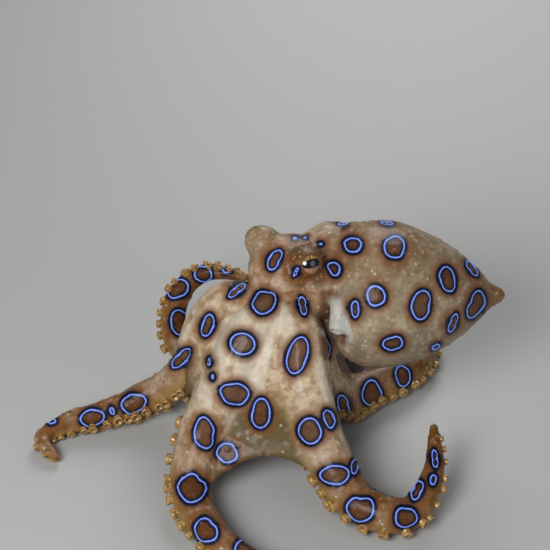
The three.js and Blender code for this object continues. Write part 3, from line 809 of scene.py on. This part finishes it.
wave = np.array([noise.noise(Vector(p * WAVE_TURNS)) for p in places])
grain = np.array([noise.noise(Vector(p * GRAIN_TURNS)) for p in places])
wart = np.array([noise.voronoi(Vector(p * WART_TURNS))[0][0] for p in places])
wart = smooth_step(*WART_EDGES, wart)
calm = 1 - CALM_SHARE * smooth_step(*CALM_EDGES, sucker_side)
eye_gap = {name: np.linalg.norm(places - eye["ball"], axis=1) for name, eye in EYES.items()}
in_eye = np.max([smooth_step(*SMOOTH_EYE_EDGES, gap) for gap in eye_gap.values()], axis=0)
turn_round = np.arctan2(np.sum(out_vector * near["side"], axis=1),
                        np.sum(out_vector * near["faces"], axis=1))
streak = np.array([
    noise.noise(Vector((math.cos(turn) * STREAKS_ROUND, math.sin(turn) * STREAKS_ROUND,
                        out * STREAKS_ALONG)))
    for turn, out in zip(turn_round, near["share"] + near_index // STATIONS * STREAK_SHIFT)])
streak = smooth_step(*STREAK_EDGES, streak) * (1 - on_mantle)
height = calm * (1 - in_eye) * (WAVE_HEIGHT * wave + WART_HEIGHT * wart + GRAIN_HEIGHT * grain
                                + STREAK_HEIGHT * streak)
moved = places + normals * height[:, None]
skin.data.vertices.foreach_set("co", placed(moved).ravel())
skin.data.update()
select_only(skin)
bpy.ops.object.shade_smooth()
print("relief from", height.min().round(2), "to", height.max().round(2), "mm")

# %% [markdown]
# The colours change over the body: darker round the eyes, orange on the head, brown at the
# pointed end and the underside of the mantle, painted shade on the top of the mantle, and
# grey-white on the funnel, with painted shade in the hollow behind it and on the webs low
# between the arms. A painted map would need an image, so each of these areas is an attribute
# instead, a share from 0 to 1 between two edges. Edges are in millimetres, or in shares of a
# radius for round areas.

# %% Where each colour lies
MANTLE_END_EDGES, MANTLE_LOW_EDGES = (40, 60), (36, 22)
# painted shade: the top of the mantle is darkened to brown
MANTLE_TOP_SHADE_EDGES, MANTLE_TOP_SHADE_SHARE = (49, 57), 0.8
HEAD_MIDDLE = np.array((5, 1, 48))
HEAD_REACH = np.array((13, 12, 8))
HEAD_EDGES = (1.25, 0.7)
FUNNEL_SIDE_EDGES, FUNNEL_ROOT_EDGES, FUNNEL_MOUTH_EDGES = (4.6, 3.6), (0, 3), (11.5, 10.5)
OPENING_SHADE_EDGES, OPENING_SHADE_FRONT_EDGES = (1.1, 0.96), (9.5, 12)
WEB_SHADE_EDGES, WEB_SHADE_HEIGHT_EDGES = (0.95, 1.3), (30, 20)
EYE_SKIN_EDGES = (8.6, 4.8)
EYE_SKIN = {"eye_left": 1.0, "eye_right": 0.5}

from_front, up = places[:, 0], places[:, 2]
mantle_end = np.maximum(smooth_step(*MANTLE_END_EDGES, from_front),
                        smooth_step(*MANTLE_LOW_EDGES, up))
# brown at the end and underside of the mantle, and painted shade on its top
mantle_end = np.maximum(mantle_end, smooth_step(*MANTLE_TOP_SHADE_EDGES, up) * MANTLE_TOP_SHADE_SHARE)
head_gap = np.linalg.norm((places - HEAD_MIDDLE) / HEAD_REACH, axis=1)
funnel_way = unit(FUNNEL_MOUTH - FUNNEL_ROOT)
down_funnel = (places - FUNNEL_ROOT) @ funnel_way
off_funnel = np.linalg.norm(places - FUNNEL_ROOT - down_funnel[:, None] * funnel_way, axis=1)
on_funnel = smooth_step(*FUNNEL_SIDE_EDGES, off_funnel)
on_funnel *= smooth_step(*FUNNEL_ROOT_EDGES, down_funnel)
on_funnel *= smooth_step(*FUNNEL_MOUTH_EDGES, down_funnel)
# painted shade: the hollow behind the funnel is marked to be painted dark brown
opening_gap = np.linalg.norm((places - OPENING_CENTRE) / OPENING_RADII, axis=1)
opening_shade = smooth_step(*OPENING_SHADE_EDGES, opening_gap) * (1 - on_funnel)
opening_shade *= smooth_step(*OPENING_SHADE_FRONT_EDGES, from_front)
# the webs' own brown, darkened as painted shade the lower they lie between the arms
web_shade = smooth_step(*WEB_SHADE_EDGES, gap_in_radii) * smooth_step(*WEB_SHADE_HEIGHT_EDGES, up)
eye_skin = np.max([smooth_step(*EYE_SKIN_EDGES, gap) * EYE_SKIN[name]
                   for name, gap in eye_gap.items()], axis=0)
SKIN_ATTRIBUTES = {
    "ring": ring_distance,
    "along": along,
    "sucker_side": np.where(on_body * high_up > 0.5, -1, sucker_side),
    "mantle": on_mantle,
    "mantle_end": on_mantle * mantle_end,
    "head": smooth_step(*HEAD_EDGES, head_gap),
    "funnel": on_funnel,
    "opening": opening_shade,
    "web": web_shade,
    "wart": wart * calm,
    "streak": streak,
    "eye": eye_skin,
}
for name, values in SKIN_ATTRIBUTES.items():
    put_attribute(skin.data, name, values)
print("attributes", ", ".join(SKIN_ATTRIBUTES))

# %% [markdown]
# ## Suckers
# A sucker is a short stalk that flares to a soft rim round a hollow cup. It could be a torus
# on a cylinder, but a disc that is extruded and resized up one profile gives the stalk, the
# rim and the cup as one closed shape. It is modelled once, at a size of one, with pairs of
# reach and rise.

# %% One sucker
SUCKER_PROFILE = [(1.05, -1.0), (0.98, -0.35), (0.86, 0.05), (0.88, 0.4), (1.0, 0.72),
                  (0.96, 0.92), (0.8, 1.0), (0.62, 0.92), (0.48, 0.62), (0.22, 0.45)]
SUCKER_SIDES = 14
CUP_REACH, CUP_RISE = 0.7, 0.3

first_reach, first_rise = SUCKER_PROFILE[0]
bpy.ops.mesh.primitive_circle_add(vertices=SUCKER_SIDES, radius=first_reach, fill_type="NGON",
                                  location=(0, 0, first_rise))
sucker = bpy.context.object
sucker.name = "sucker"
bpy.ops.object.mode_set(mode="EDIT")
bpy.ops.mesh.select_all(action="SELECT")
for (reach, rise), (next_reach, next_rise) in zip(SUCKER_PROFILE, SUCKER_PROFILE[1:]):
    flare = next_reach / reach
    bpy.ops.mesh.extrude_region_move(TRANSFORM_OT_translate={"value": (0, 0, next_rise - rise)})
    bpy.ops.transform.resize(value=(flare, flare, 1), center_override=(0, 0, 0))
bpy.ops.object.mode_set(mode="OBJECT")
bpy.ops.object.transform_apply(location=True, rotation=True, scale=True)
sucker_points = read_vectors(sucker.data.vertices, "co")
reach, rise = np.hypot(sucker_points[:, 0], sucker_points[:, 1]), sucker_points[:, 2]
put_attribute(sucker.data, "cup", np.where((reach < CUP_REACH) & (rise > CUP_RISE), rise, 1))
print("one sucker", len(sucker.data.polygons), "faces")

# %% [markdown]
# Each arm carries two rows of suckers down to its tip, larger at the root and closer together
# at the end, and no two stand quite alike. Each is a copy with its own mesh, and the copies of
# an arm are joined to one piece. The copies are mirrored, so the normals are made new.

# %% Rows of suckers
SUCKERS_PER_ARM = 46
SUCKER_SHARES = (0.1, 0.985)
SUCKER_CROWDING = 0.86
SUCKER_SPREAD = math.radians(33)
SUCKER_BASE, SUCKER_GROWTH = 0.46, 0.225
SUCKER_SIZES = (0.88, 1.08)
SPREAD_SHARES = (0.9, 1.1)
SUCKER_LEANS = (-0.18, 0.18)
SUCKER_SINK = 0.15
FLOOR_GAP = 0.02


def sucker_axes(arm, share, row):
    """The ways across, ahead and out of one sucker of a row."""
    spread = row * SUCKER_SPREAD * rng.uniform(*SPREAD_SHARES)
    along_way = unit(at_share(arm, "along", share))
    faces_way = unit(at_share(arm, "faces", share))
    side_way = np.cross(along_way, faces_way)
    out = faces_way * math.cos(spread) + side_way * math.sin(spread)
    out = unit(out + along_way * rng.uniform(*SUCKER_LEANS))
    across = unit(np.cross(out, along_way))
    return np.array([across, np.cross(across, out), out])


def sucker_rows_of(name, arm):
    """Both rows of one arm as one piece."""
    first, last = SUCKER_SHARES
    copies = []
    for k in range(SUCKERS_PER_ARM):
        share = first + (last - first) * (k / (SUCKERS_PER_ARM - 1)) ** SUCKER_CROWDING
        radius = at_share(arm, "radius", share)
        size = (SUCKER_BASE + SUCKER_GROWTH * radius) * rng.uniform(*SUCKER_SIZES)
        axes = sucker_axes(arm, share, 1 if k % 2 else -1)
        base = at_share(arm, "centre", share) + axes[2] * (radius - SUCKER_SINK)
        points = base + sucker_points @ axes * size
        points[:, 2] = np.maximum(points[:, 2], FLOOR_GAP)
        copy = sucker.copy()
        copy.data = sucker.data.copy()
        copy.data.vertices.foreach_set("co", placed(points).ravel())
        bpy.context.scene.collection.objects.link(copy)
        copies.append(copy)
    select_only(*copies)
    bpy.ops.object.join()
    rows = bpy.context.object
    rows.name = name
    rows.data.name = name
    bpy.ops.object.mode_set(mode="EDIT")
    bpy.ops.mesh.select_all(action="SELECT")
    bpy.ops.mesh.normals_make_consistent(inside=False)
    bpy.ops.object.mode_set(mode="OBJECT")
    bpy.ops.object.shade_smooth()
    return rows


sucker_rows = [sucker_rows_of(f"suckers_{name}", arm) for name, arm in ARMS.items()]
bpy.data.objects.remove(sucker)
print("sucker faces", sum(len(rows.data.polygons) for rows in sucker_rows))

# %% [markdown]
# ## Eyes
# The ball is dark and wet, with a gold iris and a level slit for a pupil. The pupil could be
# a piece of its own, but as an attribute of a fine ball its edge stays sharp and nothing
# stands out. The lids of the skin lie over the ball.

# %% Eyeballs
BALL_SEGMENTS = (128, 96)
PUPIL_HALF = (2.4, 1.1)
IRIS_RADIUS = 2.75
BEHIND = 9
eyeballs = []
for name, eye in EYES.items():
    ball = ellipsoid(name + "_ball", eye["ball"], (EYE_RADIUS,) * 3, *BALL_SEGMENTS)
    offset = read_vectors(ball.data.vertices, "co") / MM - SHIFT - eye["ball"]
    x, y = offset @ eye["level"], offset @ eye["rise"]
    front = offset @ eye["looks"] > 0
    slit = np.hypot(x / PUPIL_HALF[0], y / PUPIL_HALF[1])
    put_attribute(ball.data, "pupil", np.where(front, slit, BEHIND))
    put_attribute(ball.data, "iris", np.where(front, np.hypot(x, y) / IRIS_RADIUS, BEHIND))
    # the height on the ball places the painted pink glint below the pupil
    put_attribute(ball.data, "high", y)
    ball.data.shade_smooth()
    eyeballs.append(ball)
print("eyes", len(eyeballs))

# %% [markdown]
# ## Materials
# Skin, suckers and eyes are all flecked by the same kind of grain, so that is one node group
# with named inputs. It is noise over the object's own coordinates, and its scale is in turns
# a metre.

# %% The grain group
GRAIN_INPUTS = {"Scale": 900.0, "Detail": 3.0, "Roughness": 0.6, "Distortion": 0.0}
grain_group = bpy.data.node_groups.new("grain", "ShaderNodeTree")
for label, value in GRAIN_INPUTS.items():
    socket = grain_group.interface.new_socket(label, in_out="INPUT",
                                              socket_type="NodeSocketFloat")
    socket.default_value = value
grain_group.interface.new_socket("Value", in_out="OUTPUT", socket_type="NodeSocketFloat")
coordinates = grain_group.nodes.new("ShaderNodeTexCoord")
texture = grain_group.nodes.new("ShaderNodeTexNoise")
group_input = grain_group.nodes.new("NodeGroupInput")
group_output = grain_group.nodes.new("NodeGroupOutput")
grain_group.links.new(coordinates.outputs["Object"], texture.inputs["Vector"])
for label in GRAIN_INPUTS:
    grain_group.links.new(group_input.outputs[label], texture.inputs[label])
grain_group.links.new(texture.outputs["Fac"], group_output.inputs["Value"])
print("grain inputs", ", ".join(GRAIN_INPUTS))

# %% [markdown]
# A material here is built from a few kinds of node, again and again. A small class gives each
# kind a short name, so that the finishes below read like recipes.

# %% A class for finishes
class Finish:
    """One material under work, with its nodes, links and Principled shader."""

    def __init__(self, name):
        self.material = bpy.data.materials.new(name)
        self.material.use_nodes = True
        self.nodes = self.material.node_tree.nodes
        self.links = self.material.node_tree.links
        self.shader = next(node for node in self.nodes if node.type == "BSDF_PRINCIPLED")

    def put(self, socket, value):
        if isinstance(value, (int, float, tuple)):
            socket.default_value = value
        else:
            self.links.new(value, socket)

    def attribute(self, name):
        node = self.nodes.new("ShaderNodeAttribute")
        node.attribute_name = name
        return node.outputs["Fac"]

    def maths(self, kind, first, second, clamp=False):
        node = self.nodes.new("ShaderNodeMath")
        node.operation = kind
        node.use_clamp = clamp
        self.put(node.inputs[0], first)
        self.put(node.inputs[1], second)
        return node.outputs[0]

    def times(self, first, second, clamp=False):
        return self.maths("MULTIPLY", first, second, clamp)

    def ranged(self, value, low_edge, high_edge, easing="SMOOTHSTEP"):
        """A value as a share of the way between two edges."""
        node = self.nodes.new("ShaderNodeMapRange")
        node.interpolation_type = easing
        self.put(node.inputs["Value"], value)
        node.inputs["From Min"].default_value = low_edge
        node.inputs["From Max"].default_value = high_edge
        return node.outputs["Result"]

    def mixed(self, share, first, second):
        node = self.nodes.new("ShaderNodeMix")
        node.data_type = "RGBA"
        self.put(node.inputs["Factor"], share)
        self.put(node.inputs["A"], first)
        self.put(node.inputs["B"], second)
        return node.outputs["Result"]

    def grain(self, scale, detail=3.0, roughness=0.6, distortion=0.0):
        node = self.nodes.new("ShaderNodeGroup")
        node.node_tree = grain_group
        for label, value in zip(GRAIN_INPUTS, (scale, detail, roughness, distortion)):
            node.inputs[label].default_value = value
        return node.outputs["Value"]

    def dots(self, scale):
        """Distance to the nearest of many scattered points."""
        place = self.nodes.new("ShaderNodeTexCoord")
        node = self.nodes.new("ShaderNodeTexVoronoi")
        node.inputs["Scale"].default_value = scale
        self.links.new(place.outputs["Object"], node.inputs["Vector"])
        return node.outputs["Distance"]

    def ramp(self, share, stops):
        """A colour ramp, from pairs of position and colour in rising order."""
        node = self.nodes.new("ShaderNodeValToRGB")
        elements = node.color_ramp.elements
        for index, (position, colour) in enumerate(stops):
            element = elements[index] if index < 2 else elements.new(position)
            element.position = position
            element.color = colour
        self.links.new(share, node.inputs["Fac"])
        return node.outputs["Color"]

    def bump(self, height, depth_mm, strength):
        node = self.nodes.new("ShaderNodeBump")
        node.inputs["Distance"].default_value = depth_mm * MM
        node.inputs["Strength"].default_value = strength
        self.links.new(height, node.inputs["Height"])
        self.links.new(node.outputs["Normal"], self.shader.inputs["Normal"])

    def cover(self, values, *things):
        """Sets inputs of the shader and puts the material on things."""
        for label, value in values.items():
            self.put(self.shader.inputs[label], value)
        for thing in things:
            thing.data.materials.clear()
            thing.data.materials.append(self.material)


# %% [markdown]
# The ground of the skin goes from cream to pinkish brown by two sizes of grain, with pale
# streaks along the arms.

# %% Ground of the skin
CREAM = (0.60, 0.46, 0.31, 1)
BEIGE = (0.37, 0.245, 0.14, 1)
BROWN = (0.135, 0.058, 0.022, 1)
PALE = (0.68, 0.63, 0.52, 1)
COARSE_GRAIN = (420, 4.0, 0.62)
FINE_GRAIN = (1700, 5.0, 0.7)

paint = Finish("skin")
coarse = paint.grain(*COARSE_GRAIN)
fine = paint.grain(*FINE_GRAIN)
base = paint.mixed(paint.ranged(coarse, 0.36, 0.62), BEIGE, CREAM)
base = paint.mixed(paint.times(paint.ranged(fine, 0.52, 0.7), 0.6), base, BROWN)
base = paint.mixed(paint.times(paint.attribute("streak"), 0.55), base, PALE)
print("ground of the skin mixed")

# %% [markdown]
# The ground is then turned towards a colour of its own on each part of the body: grey on the
# mantle, brown at its end and underside with painted shade on its top, orange on the head,
# ochre out along the arms. These come in soft patches, so each has a least share and a share
# that the patches add.

# %% Patchy tones
ORANGE = (0.22, 0.065, 0.010, 1)
OCHRE = (0.165, 0.064, 0.008, 1)
GREY = (0.20, 0.175, 0.115, 1)
UMBER = (0.19, 0.085, 0.014, 1)
PATCH_GRAIN = (190, 4.0, 0.65, 0.6)
PATCH_EDGES = (0.44, 0.6)
ARM_END_EDGES = (0.2, 0.65)

patches = paint.ranged(paint.grain(*PATCH_GRAIN), *PATCH_EDGES)
arm_end = paint.ranged(paint.attribute("along"), *ARM_END_EDGES)
PATCHY_TONES = [
    (paint.attribute("mantle"), 0.5, 0.4, GREY),
    # brown at the end and underside of the mantle, and painted shade on its top
    (paint.attribute("mantle_end"), 0.6, 0.3, UMBER),
    (paint.attribute("head"), 0.3, 0.4, ORANGE),
    (arm_end, 0.75, 0.25, OCHRE),
]
for share, least, added, colour in PATCHY_TONES:
    patchy = paint.maths("ADD", paint.times(patches, added), least)
    base = paint.mixed(paint.times(share, patchy, clamp=True), base, colour)
print("patchy tones", len(PATCHY_TONES))

# %% [markdown]
# Other areas have one even tone: a lighter ochre beside the suckers, dark olive on the webs,
# their own brown darkened as painted shade low between the arms, grey-white on the funnel and
# brown painted shade in the hollow behind it. Warts are pale, and the scattered pale specks are
# painted glints.

# %% Even tones
EDGE_OCHRE = (0.33, 0.19, 0.042, 1)
OLIVE = (0.080, 0.054, 0.014, 1)
WHITE_GREY = (0.46, 0.47, 0.45, 1)
SUCKER_SIDE_EDGES = (0.1, 0.7)
GLINT_TURNS, GLINT_EDGES = 430, (0.2, 0.1)

sucker_share = paint.ranged(paint.attribute("sucker_side"), *SUCKER_SIDE_EDGES)
# painted glints: small pale specks scattered over the skin
glint_specks = paint.ranged(paint.dots(GLINT_TURNS), *GLINT_EDGES)
EVEN_TONES = [
    (sucker_share, 0.7, EDGE_OCHRE),
    # painted shade on the webs between the arms, over their own brown
    (paint.attribute("web"), 0.85, OLIVE),
    (paint.attribute("funnel"), 0.8, WHITE_GREY),
    # painted shade in the hollow behind the funnel
    (paint.attribute("opening"), 0.9, BROWN),
    (paint.attribute("wart"), 0.55, CREAM),
    (glint_specks, 0.5, PALE),
]
for share, weight, colour in EVEN_TONES:
    base = paint.mixed(paint.times(share, weight), base, colour)
print("even tones", len(EVEN_TONES))

# %% [markdown]
# The skin round the eyes is dark brown and olive, with gold specks that catch the light.

# %% Skin of the eyes
GOLD = (0.62, 0.42, 0.10, 1)
GOLD_TURNS, GOLD_EDGES = 900, (0.3, 0.12)
EYE_SKIN_SHARE, GOLD_SHARE = 0.95, 0.8

eye_colour = paint.mixed(paint.ranged(coarse, 0.4, 0.6), BROWN, OLIVE)
gold_specks = paint.ranged(paint.dots(GOLD_TURNS), *GOLD_EDGES)
eye_colour = paint.mixed(paint.times(gold_specks, GOLD_SHARE), eye_colour, GOLD)
base = paint.mixed(paint.times(paint.attribute("eye"), EYE_SKIN_SHARE), base, eye_colour)
print("skin of the eyes mixed")

# %% [markdown]
# The line of a ring is blue light from tiny mirrors in the skin, so it is also made to glow
# a little: a painted blue sheen, given out as emission. One colour ramp cuts the ring distance
# into its bands, and a second says how much of the skin each band covers. The stops are in
# millimetres: place, colour, cover. A slight speckle shifts the edges, as in the living skin.

# %% Ring colours
BLUE = (0.22, 0.29, 0.93, 1)
NAVY = (0.003, 0.005, 0.017, 1)
RING_BROWN = (0.070, 0.020, 0.003, 1)
RING_ORANGE = (0.145, 0.042, 0.006, 1)
BLUE_SHEEN, NO_SHEEN = (0.05, 0.18, 0.5, 1), (0, 0, 0, 1)
RING_LOW, RING_HIGH = -5.0, 4.0
RING_STOPS = [
    (-5, RING_BROWN, 0.85), (-1.5, RING_BROWN, 0.92), (-1.0, NAVY, 0.95), (-0.56, NAVY, 1),
    (-0.47, BLUE, 1), (-0.23, BLUE, 1), (-0.14, NAVY, 1), (0.42, NAVY, 1), (0.8, BROWN, 0.85),
    (1.4, ORANGE, 0.55), (2.4, ORANGE, 0.0),
]
RING_SPECKLE = 0.4
LINE_INNER_EDGES, LINE_OUTER_EDGES = (-0.56, -0.46), (-0.14, -0.24)
FILL_EDGES, FILL_GRAIN_EDGES = (-1.1, -1.5), (0.42, 0.62)


def ring_position(edge):
    """A distance from the ring as a place on the ramp."""
    return (edge - RING_LOW) / (RING_HIGH - RING_LOW)


shift = paint.times(paint.maths("SUBTRACT", fine, 0.5), RING_SPECKLE)
ring_value = paint.maths("ADD", paint.attribute("ring"), shift)
ring_share = paint.ranged(ring_value, RING_LOW, RING_HIGH, easing="LINEAR")
ring_colour = paint.ramp(ring_share, [(ring_position(edge), colour)
                                      for edge, colour, cover in RING_STOPS])
ring_cover = paint.ramp(ring_share, [(ring_position(edge), (cover, cover, cover, 1))
                                     for edge, colour, cover in RING_STOPS])
blueness = paint.times(paint.ranged(ring_value, *LINE_INNER_EDGES),
                       paint.ranged(ring_value, *LINE_OUTER_EDGES))
ring_colour = paint.mixed(blueness, ring_colour, BLUE)
fill = paint.times(paint.ranged(ring_value, *FILL_EDGES), paint.ranged(fine, *FILL_GRAIN_EDGES))
ring_colour = paint.mixed(fill, ring_colour, RING_ORANGE)
base = paint.mixed(ring_cover, base, ring_colour)
print("ring stops", len(RING_STOPS))

# %% [markdown]
# Skin under a wet film has a soft gloss of its own and a thin sharper coat. A little light
# also passes under its surface, reddest furthest. The pores and the coarse grain lift the
# light by a bump that is too fine for the mesh.

# %% Gloss of the skin
PORE_GRAIN = (2600, 4.0, 0.65)
COARSE_LIFT = 1.5
BUMP_DEPTH, BUMP_STRENGTH = 0.28, 0.7

pores = paint.grain(*PORE_GRAIN)
paint.bump(paint.maths("ADD", pores, paint.times(coarse, COARSE_LIFT)), BUMP_DEPTH, BUMP_STRENGTH)
paint.cover({
    "Base Color": base,
    "Roughness": 0.42,
    "Specular IOR Level": 0.15,
    "Coat Weight": 0.2,
    "Coat Roughness": 0.2,
    "Subsurface Weight": 0.08,
    "Subsurface Radius": (1.0, 0.45, 0.25),
    "Subsurface Scale": 1.2 * MM,
    # painted blue sheen: the ring lines glow by emission
    "Emission Color": paint.mixed(blueness, NO_SHEEN, BLUE_SHEEN),
    "Emission Strength": 0.35,
}, skin)
print("skin covered")

# %% [markdown]
# The suckers are thin flesh that glows golden at the rim and is darker in the cup. More light
# passes through them than through the thick skin, so their subsurface share is high.

# %% Suckers' finish
RIM_GOLD = (0.42, 0.27, 0.08, 1)
RIM_BROWN = (0.22, 0.10, 0.022, 1)
CUP_BROWN = (0.20, 0.09, 0.03, 1)
RIM_TURNS, RIM_EDGES = 900, (0.4, 0.65)
CUP_EDGES = (0.85, 0.4)

paint = Finish("sucker")
rim = paint.mixed(paint.ranged(paint.grain(RIM_TURNS), *RIM_EDGES), RIM_GOLD, RIM_BROWN)
in_cup = paint.ranged(paint.attribute("cup"), *CUP_EDGES)
paint.cover({
    "Base Color": paint.mixed(in_cup, rim, CUP_BROWN),
    "Roughness": 0.3,
    "Coat Weight": 0.5,
    "Subsurface Weight": 0.35,
    "Subsurface Radius": (1.0, 0.6, 0.35),
    "Subsurface Scale": 1.5 * MM,
}, *sucker_rows)
print("sucker meshes covered", len(sucker_rows))

# %% [markdown]
# The iris is gold flecked with brown, with a painted pink glint over its lower part, a dark rim
# and a nearly black slit. A real eye lies under a film of water, so it has a full coat that
# mirrors the lamp.

# %% Eyes' finish
IRIS_BROWN = (0.10, 0.055, 0.018, 1)
IRIS_GOLD = (0.42, 0.27, 0.07, 1)
IRIS_PINK_GLINT = (0.34, 0.16, 0.10, 1)
BALL_BROWN = (0.09, 0.05, 0.022, 1)
PUPIL_BLACK = (0.004, 0.005, 0.008, 1)
IRIS_GRAIN, IRIS_EDGES = (2200, 4.0), (0.38, 0.62)
PINK_GLINT_EDGES, IRIS_RIM_EDGES, SLIT_EDGES = (0.2, -1.6), (0.94, 1.06), (0.95, 1.06)

paint = Finish("eye")
iris = paint.mixed(paint.ranged(paint.grain(*IRIS_GRAIN), *IRIS_EDGES), IRIS_BROWN, IRIS_GOLD)
# painted pink glint over the lower part of the iris
iris = paint.mixed(paint.ranged(paint.attribute("high"), *PINK_GLINT_EDGES), iris, IRIS_PINK_GLINT)
ball = paint.mixed(paint.ranged(paint.attribute("iris"), *IRIS_RIM_EDGES), iris, BALL_BROWN)
slit = paint.ranged(paint.attribute("pupil"), *SLIT_EDGES)
paint.cover({
    "Base Color": paint.mixed(slit, PUPIL_BLACK, ball),
    "Roughness": 0.16,
    "Coat Weight": 1.0,
    "Coat Roughness": 0.03,
}, *eyeballs)
print("eyes covered", len(eyeballs))

# %% [markdown]
# ## Floor and light
# A pale floor stands for the base of a museum case. The light is a broad soft key from the
# upper left, as the flash in the photograph, with a weak fill and rim. Soft square lamps are
# used, because a small lamp would throw hard shadows from so many suckers.

# %% Stage
FLOOR_SIZE = 6.0
FLOOR_GREY = (0.42, 0.42, 0.41, 1)
FLOOR_ROUGHNESS = 0.7
LAMPS = {
    "key": ((-150, -290, 280), 190, 1.5),
    "fill": ((260, -200, 180), 260, 0.2),
    "rim": ((60, 320, 260), 220, 0.9),
}
LAMPS_AIM = (5, 0, 30)
ROOM_COLOUR = (0.85, 0.9, 1.0, 1)
ROOM_STRENGTH = 0.1

bpy.ops.mesh.primitive_plane_add(size=FLOOR_SIZE, location=(0, 0, 0))
floor = bpy.context.object
floor.name = "floor"
Finish("floor").cover({"Base Color": FLOOR_GREY, "Roughness": FLOOR_ROUGHNESS}, floor)
for name, (place, size, power) in LAMPS.items():
    where = Vector(placed(place))
    bpy.ops.object.light_add(type="AREA", location=where)
    lamp = bpy.context.object
    lamp.name = name
    lamp.data.size = size * MM
    lamp.data.energy = power
    aim = Vector(placed(LAMPS_AIM)) - where
    lamp.rotation_euler = aim.to_track_quat("-Z", "Y").to_euler()
world = bpy.data.worlds.new("room")
bpy.context.scene.world = world
world.use_nodes = True
background = next(node for node in world.node_tree.nodes if node.type == "BACKGROUND")
background.inputs["Color"].default_value = ROOM_COLOUR
background.inputs["Strength"].default_value = ROOM_STRENGTH
bpy.context.scene.view_settings.view_transform = "Standard"
print("lamps", ", ".join(LAMPS))

# %% [markdown]
# ## Pieces
# The skin takes the place of every solid of flesh. The suckers ride with it, and the eyes
# take the place of their two balls.

# %% Pieces and their bodies
LENGTHS = ("upper", "middle", "tip")
flesh_nodes = ["head", "mantle", "funnel", "arm_crown"]
flesh_nodes += [f"{name}_{length}" for name in ARMS for length in LENGTHS]
flesh_nodes += [f"web_{place + 1}" for place in range(len(ARMS))]
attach(skin, "root")
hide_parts(*flesh_nodes)
for rows in sucker_rows:
    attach(rows, "root")
for name, ball in zip(EYES, eyeballs):
    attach(ball, "root")
    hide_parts(name)
